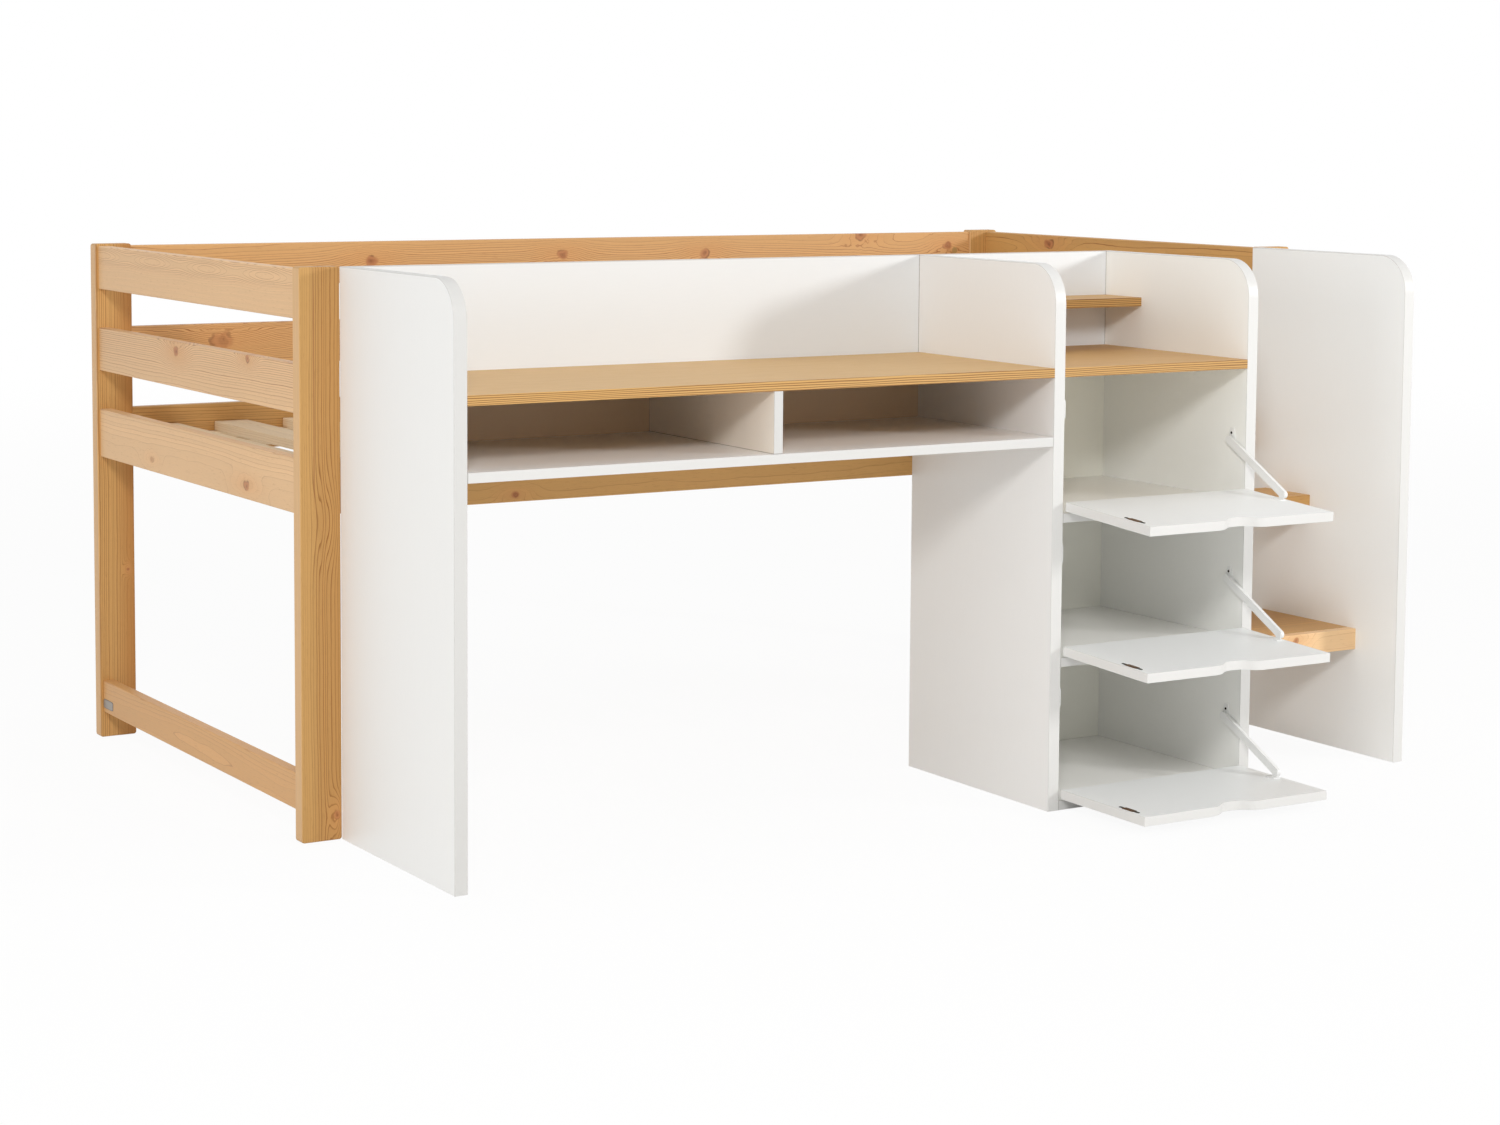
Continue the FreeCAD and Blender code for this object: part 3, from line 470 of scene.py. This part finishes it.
def dressSlats(look):
    skin, root, place = newSkin("pine_bed_slats")
    x, y, z = place.split()
    low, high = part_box("bed_slats")
    row = (x - (look["first"] - (look["pitch"] - look["width"]) / 2)) * (1 / look["pitch"])
    number = row.sum("FLOOR", row)
    across = (row - number - 0.5) * look["pitch"]
    stepX, stepY = look["figureStep"]
    moved = root.make("ShaderNodeCombineXYZ", values={0: x + number * stepX, 1: y + number * stepY, 2: z})
    along = y - (low.y + high.y) / 2
    through = z - (low.z + high.z) / 2
    base, rough, height = pineColour(root, moved, look, along, across, through)
    tone = root.make("ShaderNodeTexWhiteNoise", {"noise_dimensions": "1D"}, {"W": number})
    sawAcross, sawAlong = look["saw"]
    marks = y * sawAlong + x * sawAcross
    saw = marks.sum("SINE", marks)
    under, top = look["faceDepth"]
    sawn = 1.0 - z.band(low.z + under, high.z - top, look["faceSoft"])
    toneRange, toneLeast = look["slatShade"]
    base = base.scaled(tone * toneRange + (toneLeast + saw * sawn * look["sawShade"]))
    dress("bed_slats", closeSkin(skin, root, base, rough, height + saw * look["sawRise"], look["bump"]))


dressSlats(slatLook)
print("slats dressed")

# White melamine boards. Uprights have their front edge band run round the upper front corner.
# The edge bands' darker colour is partly their own tone and partly painted shade against the front light.
# The back panels get painted light and shade under the worktops: warm painted shade on the desk back
# inside the cubbies, and painted light on the column's back inside the compartments.
# A flap's under face, which is the front when shut, has a greyer painted shade than its top.
# bandSoft, seamEnd, seamSoft: shares of the band's depth. grip: the finger cut-out's half width, slope
# and depth. cubbyFace: how far behind the panel's front its painted cubby light and shade ends. pores:
# cells per metre along and across the board.
whiteLook = {"face": (243, 244, 243), "band": (209, 208, 205), "seam": (184, 181, 176), "bandDepth": 0.0009,
             "bandSoft": 0.7, "seamEnd": 1.35, "seamSoft": 0.35, "seamDark": 0.55, "rough": 0.40,
             "cornerRadius": 0.065, "flapReach": 0.22667, "flapUnder": (0.0026, 0.0032),
             "grip": (0.053, 0.050, 0.019), "joint": (112, 104, 94), "jointWidth": 0.0014, "jointSoft": 0.6,
             "cubbyEdge": 0.0005, "cubbyFace": (0.002, 0.001), "pores": (26.0, 900.0), "cloud": 2.0,
             "mottle": 0.03, "poreRough": 0.12, "seedStep": 1.7, "bump": (0.00012, 0.35)}
# Board by board, the one white melamine is painted lighter or darker for the light each board gets: painted
# light on the column's shelves, the desk shelf and the column's right panel, painted shade on the desk back
# and the left panels, painted shade on the edge bands and flap fronts, and a warm painted shade on the desk
# divider inside the cubby.
flapPaintedShade = {"band": (224, 223, 220), "under": (231, 232, 231)}
columnBandShade = {"band": (222, 221, 218)}
shelfPaintedLight = {"face": (250, 249, 245)}
whiteLightAndShade = {"desk_back_panel": {"face": (230, 233, 235), "cubby": (228, 200, 166)},
               "desk_shelf": {"face": (249, 249, 248), "band": (216, 215, 212)},
               "desk_divider": {"face": (242, 234, 222)}, "left_panel": {"face": (240, 240, 238)},
               "column_left_panel": {**columnBandShade, "face": (238, 237, 235)},
               "column_right_panel": {**columnBandShade, "face": (247, 247, 243)}, "right_panel": columnBandShade,
               "column_back_panel": {"face": (236, 240, 243), "cubby": (252, 251, 241)},
               "column_floor": shelfPaintedLight, "lower_column_shelf": shelfPaintedLight, "upper_column_shelf": shelfPaintedLight,
               "lower_flap": flapPaintedShade, "middle_flap": flapPaintedShade, "upper_flap": flapPaintedShade}
# Lines where boards meet: on which edges (x both ends, y the back, z the foot), and how dark
shelfJoint = ("xy", 0.35)
endJoints = {"desk_back_panel": ("x", 0.7), "column_back_panel": ("x", 0.7), "desk_shelf": ("xy", 0.5),
             "desk_divider": ("yz", 0.6), "column_floor": shelfJoint, "lower_column_shelf": shelfJoint,
             "upper_column_shelf": shelfJoint}
uprights = ("left_panel", "column_left_panel", "column_right_panel", "right_panel")
backPanels = ("desk_back_panel", "column_back_panel")
whiteBoards = {
    "desk_back_panel": (0, 2, 1), "column_back_panel": (2, 0, 1), "desk_shelf": (0, 1, 2),
    "desk_divider": (2, 1, 0), "column_floor": (0, 1, 2), "lower_column_shelf": (0, 1, 2),
    "upper_column_shelf": (0, 1, 2), "lower_flap": (1, 0, 2), "middle_flap": (1, 0, 2),
    "upper_flap": (1, 0, 2), **{name: (2, 1, 0) for name in uprights},
}


def findFlapHinges():
    # each flap's hinge line, and the angle in radians that the flap hangs below level at rest
    found = {}
    for joint in frame["joints"]:
        if joint["name"].endswith("_flap_hinge"):
            droop = math.radians(joint["range_deg"][1] - 90.0)
            found[joint["name"].replace("_hinge", "")] = (Vector(joint["pos_m"]), droop)
    return found


flapHinges = findFlapHinges()
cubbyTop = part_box("desk_top")[0].z


def gripReach(x, middle, look):
    # how far the finger cut-out comes in from the free edge: each slope is two arcs of the same radius,
    # (slope^2 + deep^2) / (4 deep), that meet half way
    halfWidth, slope, deep = look["grip"]
    square = ((slope * slope + deep * deep) / (4 * deep)) ** 2
    aside = x - middle
    run = halfWidth - aside.sum("ABSOLUTE", aside)
    run = run.make("ShaderNodeClamp", values={"Value": run, "Min": 0.0, "Max": slope})
    outer = run.sum("MINIMUM", run, slope / 2)
    inner = run.sum("MINIMUM", slope - run, slope / 2)
    return (square - inner * inner) ** 0.5 - (square - outer * outer) ** 0.5 + deep / 2


def edgeDepth(node, look, x, y, z):
    # how far a point of the board lies inside its banded edge
    low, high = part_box(node)
    if node in uprights:
        radius = look["cornerRadius"]
        forward = (low.y + radius) - y
        upward = z - (high.z - radius)
        reach = forward.sum("MAXIMUM", forward, 0.0)
        lift = upward.sum("MAXIMUM", upward, 0.0)
        return radius - (reach * reach + lift * lift) ** 0.5
    if node in flapHinges:
        hinge, droop = flapHinges[node]
        out = (hinge.y - y) * math.cos(droop) + (hinge.z - z) * math.sin(droop)
        fromLeft = x - low.x
        sides = fromLeft.sum("MINIMUM", fromLeft, high.x - x)
        free = look["flapReach"] - out - gripReach(x, (low.x + high.x) / 2, look)
        return sides.sum("MINIMUM", sides, free)
    if node in backPanels:
        return high.z - z
    return y - low.y


def dressWhite(node, axes, look):
    # fine pressed grain along the board, an edge band whose darker colour is partly painted shade, with a
    # hairline seam behind it
    skin, root, place = newSkin("white_" + node)
    low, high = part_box(node)
    x, y, z = place.split()
    seed = look["seedStep"] * list(whiteBoards).index(node)
    lengthwise, crosswise = look["pores"]
    pores = place.stretch(byAxes(axes, lengthwise, crosswise, crosswise), (seed, seed, 0)).noise(2.0)
    cloud = place.stretch((look["cloud"],) * 3, (seed, 0, seed)).noise(2.0) - 0.5
    depth = edgeDepth(node, look, x, y, z)
    band = look["bandDepth"]
    inBand = 1.0 - depth.ramp(band * look["bandSoft"], band)
    seam = depth.band(band, band * look["seamEnd"], band * look["seamSoft"])
    # the band's colour is partly its own tone and partly painted shade against the strong front light
    base = colour(root, linear(*look["face"]), linear(*look["band"]), inBand)
    base = base.tint(linear(*look["seam"]), seam * look["seamDark"])
    if node in endJoints:
        sides, dark = endJoints[node]
        ends = (("x", x, low.x, 1.0), ("x", x, high.x, -1.0), ("y", y, high.y, -1.0), ("z", z, low.z, 1.0))
        for side, part, end, inward in ends:
            if side in sides:
                inside = (part - end) * inward
                joint = 1.0 - inside.ramp(look["jointWidth"] * look["jointSoft"], look["jointWidth"])
                base = base.tint(linear(*look["joint"]), joint * dark)
    # painted shade: a flap's under face, the front when shut, is greyed so that it renders darker than its
    # top
    if "under" in look:
        hinge, droop = flapHinges[node]
        rise = (hinge.y - y) * math.sin(droop) + (z - hinge.z) * math.cos(droop)
        base = base.tint(linear(*look["under"]), 1.0 - rise.ramp(*look["flapUnder"]))
    # painted light and shade below the desktop: warm painted shade on the desk back in the cubbies, and
    # painted light on the column's back in the compartments
    if "cubby" in look:
        behind, front = (low.y + inset for inset in look["cubbyFace"])
        paintedCubbyLightShade = z.ramp(cubbyTop + look["cubbyEdge"], cubbyTop) * y.ramp(behind, front)
        base = base.tint(linear(*look["cubby"]), paintedCubbyLightShade)
    base = base.scaled(cloud * look["mottle"] + (pores - 0.5) * look["mottle"] + 1.0)
    rough = pores * look["poreRough"] + (look["rough"] - look["poreRough"] / 2)
    dress(node, closeSkin(skin, root, base, rough, pores * (1.0 - inBand), look["bump"]))


for whiteNode, whiteAxes in whiteBoards.items():
    dressWhite(whiteNode, whiteAxes, {**whiteLook, **whiteLightAndShade.get(whiteNode, {})})
print("white boards dressed,", len(whiteBoards))

# Wood-look worktops: a plain face, and a front edge with strong stripes.
# wander, grain, pores: cells per metre of each noise along, across and through the board.
# stripes: the stripes' phase in radians per metre of height.
worktopLook = {"face": (210, 172, 117), "line": (186, 143, 86), "edgeLight": (211, 167, 101),
               "edgeDark": (124, 78, 34), "under": (204, 164, 116), "bandDepth": 0.0009, "bandSoft": 0.8,
               "underEdge": (0.0002, 0.0006), "wander": (2.6, 8.0, 60.0), "grain": (3.0, 90.0, 90.0),
               "pores": (45.0, 1100.0, 1100.0), "lines": 5.0, "lineShare": 0.35, "poreShare": 0.25,
               "stripes": 1800.0, "stripeWander": 16.0, "stripeSharp": 2.2, "stripeShare": 0.9,
               "edgePores": 0.1, "rough": 0.5, "poreRough": 0.12, "seedStep": 2.3, "bump": (0.00012, 0.3),
               "gloss": 0.35}
columnTop = {"face": (206, 164, 108), "line": (180, 134, 78)}
worktops = {"desk_top": {}, "column_worktop": {**columnTop, "under": (232, 214, 184)},
            "small_shelf": columnTop}


def dressWorktop(node, look):
    # stripes are a sine of height and a slow wander along the edge
    skin, root, place = newSkin("worktop_" + node)
    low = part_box(node)[0]
    y, z = place.split()[1:]
    seed = look["seedStep"] * list(worktops).index(node)
    wander = place.stretch(look["wander"], (seed, 0, 0)).noise(2.0) - 0.5
    grain = place.stretch(look["grain"], (seed, seed, 0)).noise(3.0) * look["lines"]
    pores = place.stretch(look["pores"], (seed, 0, 0)).noise(2.0)
    lines = grain.sum("FRACT", grain)
    lined = lines * lines * look["lineShare"] + (pores - 0.5) * look["poreShare"]
    face = colour(root, linear(*look["face"]), linear(*look["line"]), lined)
    stripes = z * look["stripes"] + wander * look["stripeWander"]
    stripe = stripes.sum("SINE", stripes) * 0.5 + 0.5
    striped = stripe ** look["stripeSharp"] * look["stripeShare"] + pores * look["edgePores"]
    edge = colour(root, linear(*look["edgeLight"]), linear(*look["edgeDark"]), striped)
    onEdge = 1.0 - (y - low.y).ramp(look["bandDepth"] * look["bandSoft"], look["bandDepth"])
    onUnder = 1.0 - (z - low.z).ramp(*look["underEdge"])
    base = face.tint(linear(*look["under"]), onUnder).tint(edge, onEdge)
    rough = pores * look["poreRough"] + (look["rough"] - look["poreRough"] / 2)
    dress(node, closeSkin(skin, root, base, rough, pores, look["bump"], Specular_IOR_Level=look["gloss"]))


for worktopNode, worktopPaint in worktops.items():
    dressWorktop(worktopNode, {**worktopLook, **worktopPaint})
print("worktops dressed,", len(worktops))

# Fittings: painted, plated and moulded finishes with fine scratches or texture.
# fine: scratches per metre. long: how much fewer along the brush's line. accent: shown where a piece's
# own accent value says so, from its least share up.
fittingLook = {"long": 0.12, "cloud": 40.0, "accentShare": (0.4, 0.6), "scratchRough": 0.16,
               "bump": (0.0001, 0.25)}
fittings = {
    "white_paint": {"light": (240, 240, 238), "dark": (232, 232, 230), "metal": 0.0, "rough": 0.34,
                    "fine": 900.0},
    "zinc": {"light": (196, 198, 202), "dark": (158, 161, 166), "metal": 0.9, "rough": 0.36, "fine": 700.0},
    "yellow_zinc": {"light": (204, 170, 112), "dark": (168, 130, 78), "metal": 0.5, "rough": 0.42,
                    "fine": 700.0},
    "dark_bronze": {"light": (44, 36, 30), "dark": (20, 17, 15), "metal": 0.6, "rough": 0.42, "fine": 350.0,
                    "accent": (116, 80, 46)},
    "black_plastic": {"light": (36, 36, 37), "dark": (24, 24, 25), "metal": 0.0, "rough": 0.5,
                      "fine": 1400.0},
    "plate_metal": {"light": (128, 126, 126), "dark": (96, 97, 100), "metal": 0.5, "rough": 0.45,
                    "fine": 500.0, "accent": (168, 160, 150)},
    "dowel_beech": {"light": (226, 194, 152), "dark": (198, 160, 116), "metal": 0.0, "rough": 0.6,
                    "fine": 600.0},
}
fittingNodes = {
    "white_paint": ("stay_brackets", "lower_stay", "middle_stay", "upper_stay", "lower_flap_fittings",
                    "middle_flap_fittings", "upper_flap_fittings", "shelf_hinge_leaves"),
    "zinc": ("side_rail_studs", "carcass_screws"),
    "yellow_zinc": ("side_rail_nuts",),
    "dark_bronze": ("stay_bracket_screws", "lower_strike_plate", "middle_strike_plate", "upper_strike_plate"),
    "black_plastic": ("magnetic_catches",),
    "plate_metal": ("blank_plate",),
    "dowel_beech": ("end_rail_dowels", "board_dowels"),
}


def makeFitting(name, look):
    skin, root, place = newSkin(name)
    fine = look["fine"]
    brushed = place.stretch((fine, fine * look["long"], fine), (0, 0, 0)).noise(3.0)
    cloud = place.stretch((look["cloud"],) * 3, (0, 0, 0)).noise(2.0)
    base = colour(root, linear(*look["dark"]), linear(*look["light"]), brushed * 0.5 + cloud * 0.5)
    if "accent" in look:
        marked = root.make("ShaderNodeAttribute", {"attribute_name": "accent"}, pick="Fac")
        accentRange, accentLeast = look["accentShare"]
        base = base.tint(linear(*look["accent"]), marked * (brushed * accentRange + accentLeast))
    rough = brushed * look["scratchRough"] + (look["rough"] - look["scratchRough"] / 2)
    return closeSkin(skin, root, base, rough, brushed, look["bump"], Metallic=look["metal"])


fittingSkins = {name: makeFitting(name, {**fittingLook, **look}) for name, look in fittings.items()}
for skinName, dressedNodes in fittingNodes.items():
    for fittingNode in dressedNodes:
        dress(fittingNode, fittingSkins[skinName])
print("fittings dressed")

# Small hard pieces: a shape is points (u, v, w and how far the accent colour shows), quads and end fans.
# arm: a screw slot's half width and length, as shares of the head's radius. slotFoot: its foot as a share
# of its mouth. reach, rise: the head's rings as shares of its radius and height.
# rimShare: how far round its eased rim a block's middle ring lies.
sharpAngle = math.radians(35.0)
screwLook = {"count": 48, "arm": (0.13, 0.52), "slotFoot": 0.7, "reach": (1.0, 1.0, 0.94, 0.78, 0.60),
             "rise": (0.0, 0.35, 0.72, 0.93, 1.0, 1.0, 0.25), "leastSine": 0.001}
blockLook = {"count": 48, "rimShare": 0.3}


def spreadRings(u, v, w, accent=0.0):
    return np.stack(np.broadcast_arrays(u, v, w, accent), -1).astype(float)


def closeRings(rings):
    # rings of points that run counter-clockwise round w, each joined to the next along w,
    # with a fan to the middle of the first and the last ring
    steps, count = rings.shape[:2]
    turn = np.arange(count)
    ahead = (turn + 1) % count
    start = count * np.arange(steps - 1)[:, None]
    quads = np.stack([start + turn, start + ahead, start + count + ahead, start + count + turn], -1)
    final = count * (steps - 1)
    first = np.stack([np.full(count, steps * count), ahead, turn], -1)
    last = np.stack([np.full(count, steps * count + 1), turn + final, ahead + final], -1)
    ends = np.stack([rings[0].mean(0), rings[-1].mean(0)])
    points = np.concatenate([rings.reshape(-1, rings.shape[2]), ends])
    return points, quads.reshape(-1, 4), np.concatenate([first, last])


def setDown(shape, axes, places):
    # copies of a shape with its u, v and w along the given axes, one at each place
    points, quads, fans = shape
    spots = np.array(places, float)
    turned = points[:, :3] @ np.array(axes, float)
    accents = np.broadcast_to(points[:, 3:], (len(spots), len(points), 1))
    moved = np.concatenate([turned[None] + spots[:, None], accents], -1)
    step = len(points) * np.arange(len(spots))[:, None, None]
    return moved.reshape(-1, 4), (quads[None] + step).reshape(-1, 4), (fans[None] + step).reshape(-1, 3)


def joinShapes(first, second):
    step = len(first[0])
    return (np.concatenate([first[0], second[0]]), np.concatenate([first[1], second[1] + step]),
            np.concatenate([first[2], second[2] + step]))


def addPiece(name, shape, skin, body, replaced=()):
    points, quads, fans = shape
    mesh = bpy.data.meshes.new(name)
    mesh.from_pydata(points[:, :3].tolist(), [], quads.tolist() + fans.tolist())
    mesh.polygons.foreach_set("use_smooth", np.ones(len(mesh.polygons), bool))
    mesh.set_sharp_from_angle(angle=sharpAngle)
    accent = mesh.attributes.new("accent", "FLOAT", "POINT")
    accent.data.foreach_set("value", points[:, 3].astype(np.float32))
    mesh.materials.append(skin)
    piece = bpy.data.objects.new(name, mesh)
    bpy.context.scene.collection.objects.link(piece)
    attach(piece, body)
    if replaced:
        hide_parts(*replaced)


def roundedLoop(count, power):
    # superellipse |u|^power + |v|^power = 1, counter-clockwise
    angle = np.linspace(0.0, 2 * math.pi, count, endpoint=False)
    bend = 2.0 / power
    return (np.sign(np.cos(angle)) * np.abs(np.cos(angle)) ** bend,
            np.sign(np.sin(angle)) * np.abs(np.sin(angle)) ** bend)


def smoothStep(value, low, high):
    share = np.clip((value - low) / (high - low), 0.0, 1.0)
    return share * share * (3.0 - 2.0 * share)


def screwHead(radius, height, base=0.0):
    # a low dome whose inner rings follow a cross: its reach is the arm's half width over the sine of
    # the angle from the nearest arm, and no more than the arm's length
    armWide, armLong = screwLook["arm"]
    angle = np.linspace(0.0, 2 * math.pi, screwLook["count"], endpoint=False)
    fold = np.abs((angle + math.pi / 4) % (math.pi / 2) - math.pi / 4)
    cross = radius * np.minimum(armWide / np.maximum(np.sin(fold), screwLook["leastSine"]), armLong)
    spread = np.array(screwLook["reach"])[:, None] * radius * np.ones_like(angle)
    reach = np.concatenate([spread, cross[None], cross[None] * screwLook["slotFoot"]])
    rise = np.array(screwLook["rise"])[:, None] * height + base
    return closeRings(spreadRings(reach * np.cos(angle), reach * np.sin(angle), rise))


def blockShape(halfWide, halfTall, power, back, front, ease):
    # a superellipse carried from back to front along w, with both rims drawn in by ease
    u, v = roundedLoop(blockLook["count"], power)
    rim = ease * blockLook["rimShare"]
    drawn = np.array([ease, rim, 0.0, 0.0, rim, ease])[:, None]
    along = np.array([back, back + rim, back + ease, front - ease, front - rim, front])[:, None]
    return closeRings(spreadRings(u * (halfWide - drawn), v * (halfTall - drawn), along))


# Strike plates: narrow ends with a screw each, and a wider raised bronze middle.
# tip: how far into its round end the last ring lies. screwSink: the screw's foot as a share of the plate.
strikeLook = {"out": 0.172667, "flapTop": 0.018, "half": 0.026, "narrow": 0.0028, "wide": 0.0050,
              "middle": (0.0132, 0.0156), "thin": 0.0008, "thick": 0.0012, "screwOut": 0.0208,
              "screw": 0.0017, "screwRise": 0.0004, "screwSink": 0.9, "tip": 0.985, "rings": 79, "count": 32,
              "power": 5.0}


def strikeShape(look):
    # rings across the plate: half width and thickness are functions of the way along it
    along = np.linspace(-look["half"], look["half"], look["rings"])
    inner = 1.0 - smoothStep(np.abs(along), *look["middle"])
    past = np.clip((np.abs(along) - look["half"] + look["narrow"]) / look["narrow"], 0.0, look["tip"])
    wide = (look["narrow"] + (look["wide"] - look["narrow"]) * inner) * np.sqrt(1.0 - past * past)
    thick = look["thin"] + (look["thick"] - look["thin"]) * inner
    u, v = roundedLoop(look["count"], look["power"])
    halfThick = thick[:, None] / 2
    plate = closeRings(spreadRings(wide[:, None] * u, halfThick * (1.0 + v), along[:, None], inner[:, None]))
    ends = [(0.0, look["thin"] * look["screwSink"], side * look["screwOut"]) for side in (-1, 1)]
    head = screwHead(look["screw"], look["screwRise"])
    heads = setDown(head, ((0, 0, 1), (1, 0, 0), (0, 1, 0)), ends)
    return joinShapes(plate, heads)


def addStrikes(look):
    for flap, (hinge, droop) in flapHinges.items():
        node = flap.replace("_flap", "_strike_plate")
        low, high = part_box(node)
        upward = np.array([0.0, math.sin(-droop), math.cos(droop)])
        outward = np.array([0.0, -math.cos(droop), -math.sin(droop)])
        place = np.array([(low.x + high.x) / 2, hinge.y, hinge.z])
        place = place + outward * look["out"] + upward * look["flapTop"]
        shape = setDown(strikeShape(look), ((1, 0, 0), upward, outward), [place])
        addPiece(flap.replace("_flap", "_strike"), shape, fittingSkins["dark_bronze"], flap + "_body",
                 (node,))


addStrikes(strikeLook)
print("strike plates made,", len(flapHinges))

# Magnetic catches: a white housing, a black magnet block and two steel pole strips, a hair proud
catchLook = {"tall": 0.032, "ease": 0.0012, "power": 12.0, "magnet": (0.0053, 0.0128),
             "magnetProud": 0.00015, "magnetEase": 0.0003, "pole": (0.0005, 0.0120), "poleAside": 0.0030,
             "poleProud": 0.00025, "poleEase": 0.0001, "count": 3}


def addCatches(look):
    low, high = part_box("magnetic_catches")
    middle = (low + high) / 2
    wide, deep = (high.x - low.x) / 2, high.y - low.y
    heights = np.linspace(low.z + look["tall"] / 2, high.z - look["tall"] / 2, look["count"])
    axes = ((1, 0, 0), (0, 0, 1), (0, -1, 0))
    places = [(middle.x, high.y, height) for height in heights]
    housing = blockShape(wide, look["tall"] / 2, look["power"], 0.0, deep, look["ease"])
    addPiece("catch_housings", setDown(housing, axes, places), fittingSkins["white_paint"], "bed_frame",
             ("magnetic_catches",))
    magnetFront = deep + look["magnetProud"]
    magnet = blockShape(*look["magnet"], look["power"], deep / 2, magnetFront, look["magnetEase"])
    addPiece("catch_magnets", setDown(magnet, axes, places), fittingSkins["black_plastic"], "bed_frame")
    pole = blockShape(*look["pole"], look["power"], deep / 2, deep + look["poleProud"], look["poleEase"])
    aside = look["poleAside"]
    strips = [(x + shift, y, z) for x, y, z in places for shift in (-aside, aside)]
    addPiece("catch_poles", setDown(pole, axes, strips), fittingSkins["zinc"], "bed_frame")


addCatches(catchLook)
print("catches made,", catchLook["count"])

# Stay bracket screws: a small dark head on a round white washer
stayScrewLook = {"cadHead": (0.0034, 0.0018), "washer": 0.0044, "washerRise": 0.0008, "washerEase": 0.0003,
                 "power": 2.0, "head": 0.0024, "headRise": 0.0009, "count": 3}


def addStayScrews(look):
    low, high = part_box("stay_bracket_screws")
    cadRadius, cadRise = look["cadHead"]
    heights = np.linspace(low.z + cadRadius, high.z - cadRadius, look["count"])
    places = [(low.x + cadRise, (low.y + high.y) / 2, height) for height in heights]
    axes = ((0, 0, 1), (0, 1, 0), (-1, 0, 0))
    radius = look["washer"]
    washer = blockShape(radius, radius, look["power"], 0.0, look["washerRise"], look["washerEase"])
    addPiece("stay_washers", setDown(washer, axes, places), fittingSkins["white_paint"], "bed_frame")
    head = screwHead(look["head"], look["headRise"], look["washerRise"])
    addPiece("stay_screws", setDown(head, axes, places), fittingSkins["dark_bronze"], "bed_frame",
             ("stay_bracket_screws",))


addStayScrews(stayScrewLook)
print("stay screws made,", stayScrewLook["count"])

# Screws from inside the bed into the uprights, sunk flush in the front bed rail
carcassScrewLook = {"radius": 0.005, "height": 0.003}


def addCarcassScrews(look):
    low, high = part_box("carcass_screws")
    columns = [sum(corner.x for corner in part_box(node)) / 2 for node in uprights]
    places = [(x, high.y - look["height"], z) for x in columns
              for z in (low.z + look["radius"], high.z - look["radius"])]
    head = screwHead(look["radius"], look["height"])
    heads = setDown(head, ((0, 0, 1), (1, 0, 0), (0, 1, 0)), places)
    addPiece("carcass_screw_heads", heads, fittingSkins["zinc"], "bed_frame",
             ("carcass_screws",))


addCarcassScrews(carcassScrewLook)
print("carcass screws made")

# Blank plate on the left floor rail: a raised rim round a sunk field, and a round pin at each end.
# rise, field, pinFoot: shares of the plate's thickness
plateLook = {"power": 7.0, "count": 64, "rim": 0.0011, "drawn": (0.0, 0.0, 0.00015, 0.0004, 0.0010, 0.0013),
             "rise": (0.0, 0.55, 0.85, 1.0, 1.0, 0.55), "field": 0.55, "pinAside": 0.0215, "pin": 0.0009,
             "pinPower": 2.0, "pinFoot": 0.3, "pinRise": 0.0002, "pinEase": 0.0001}


def addBlankPlate(look):
    # a superellipse drawn in ring by ring while it rises from the rail, then sinks to the field
    low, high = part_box("blank_plate")
    middle = (low + high) / 2
    thick = high.x - low.x
    u, v = roundedLoop(look["count"], look["power"])
    drawn = np.array(look["drawn"])[:, None]
    rise = np.array(look["rise"])[:, None] * thick
    accent = (drawn > look["rim"]).astype(float)
    tall = (high.z - low.z) / 2 - drawn
    wide = (high.y - low.y) / 2 - drawn
    plate = closeRings(spreadRings(u * tall, v * wide, rise, accent))
    pinTop = thick * look["field"] + look["pinRise"]
    pinFoot = thick * look["pinFoot"]
    pin = blockShape(look["pin"], look["pin"], look["pinPower"], pinFoot, pinTop, look["pinEase"])
    pins = setDown(pin, np.eye(3), [(0.0, side * look["pinAside"], 0.0) for side in (-1, 1)])
    whole = joinShapes(plate, pins)
    shape = setDown(whole, ((0, 0, 1), (0, 1, 0), (-1, 0, 0)), [(high.x, middle.y, middle.z)])
    addPiece("rail_plate", shape, fittingSkins["plate_metal"], "bed_frame", ("blank_plate",))


addBlankPlate(plateLook)
print("blank plate made")
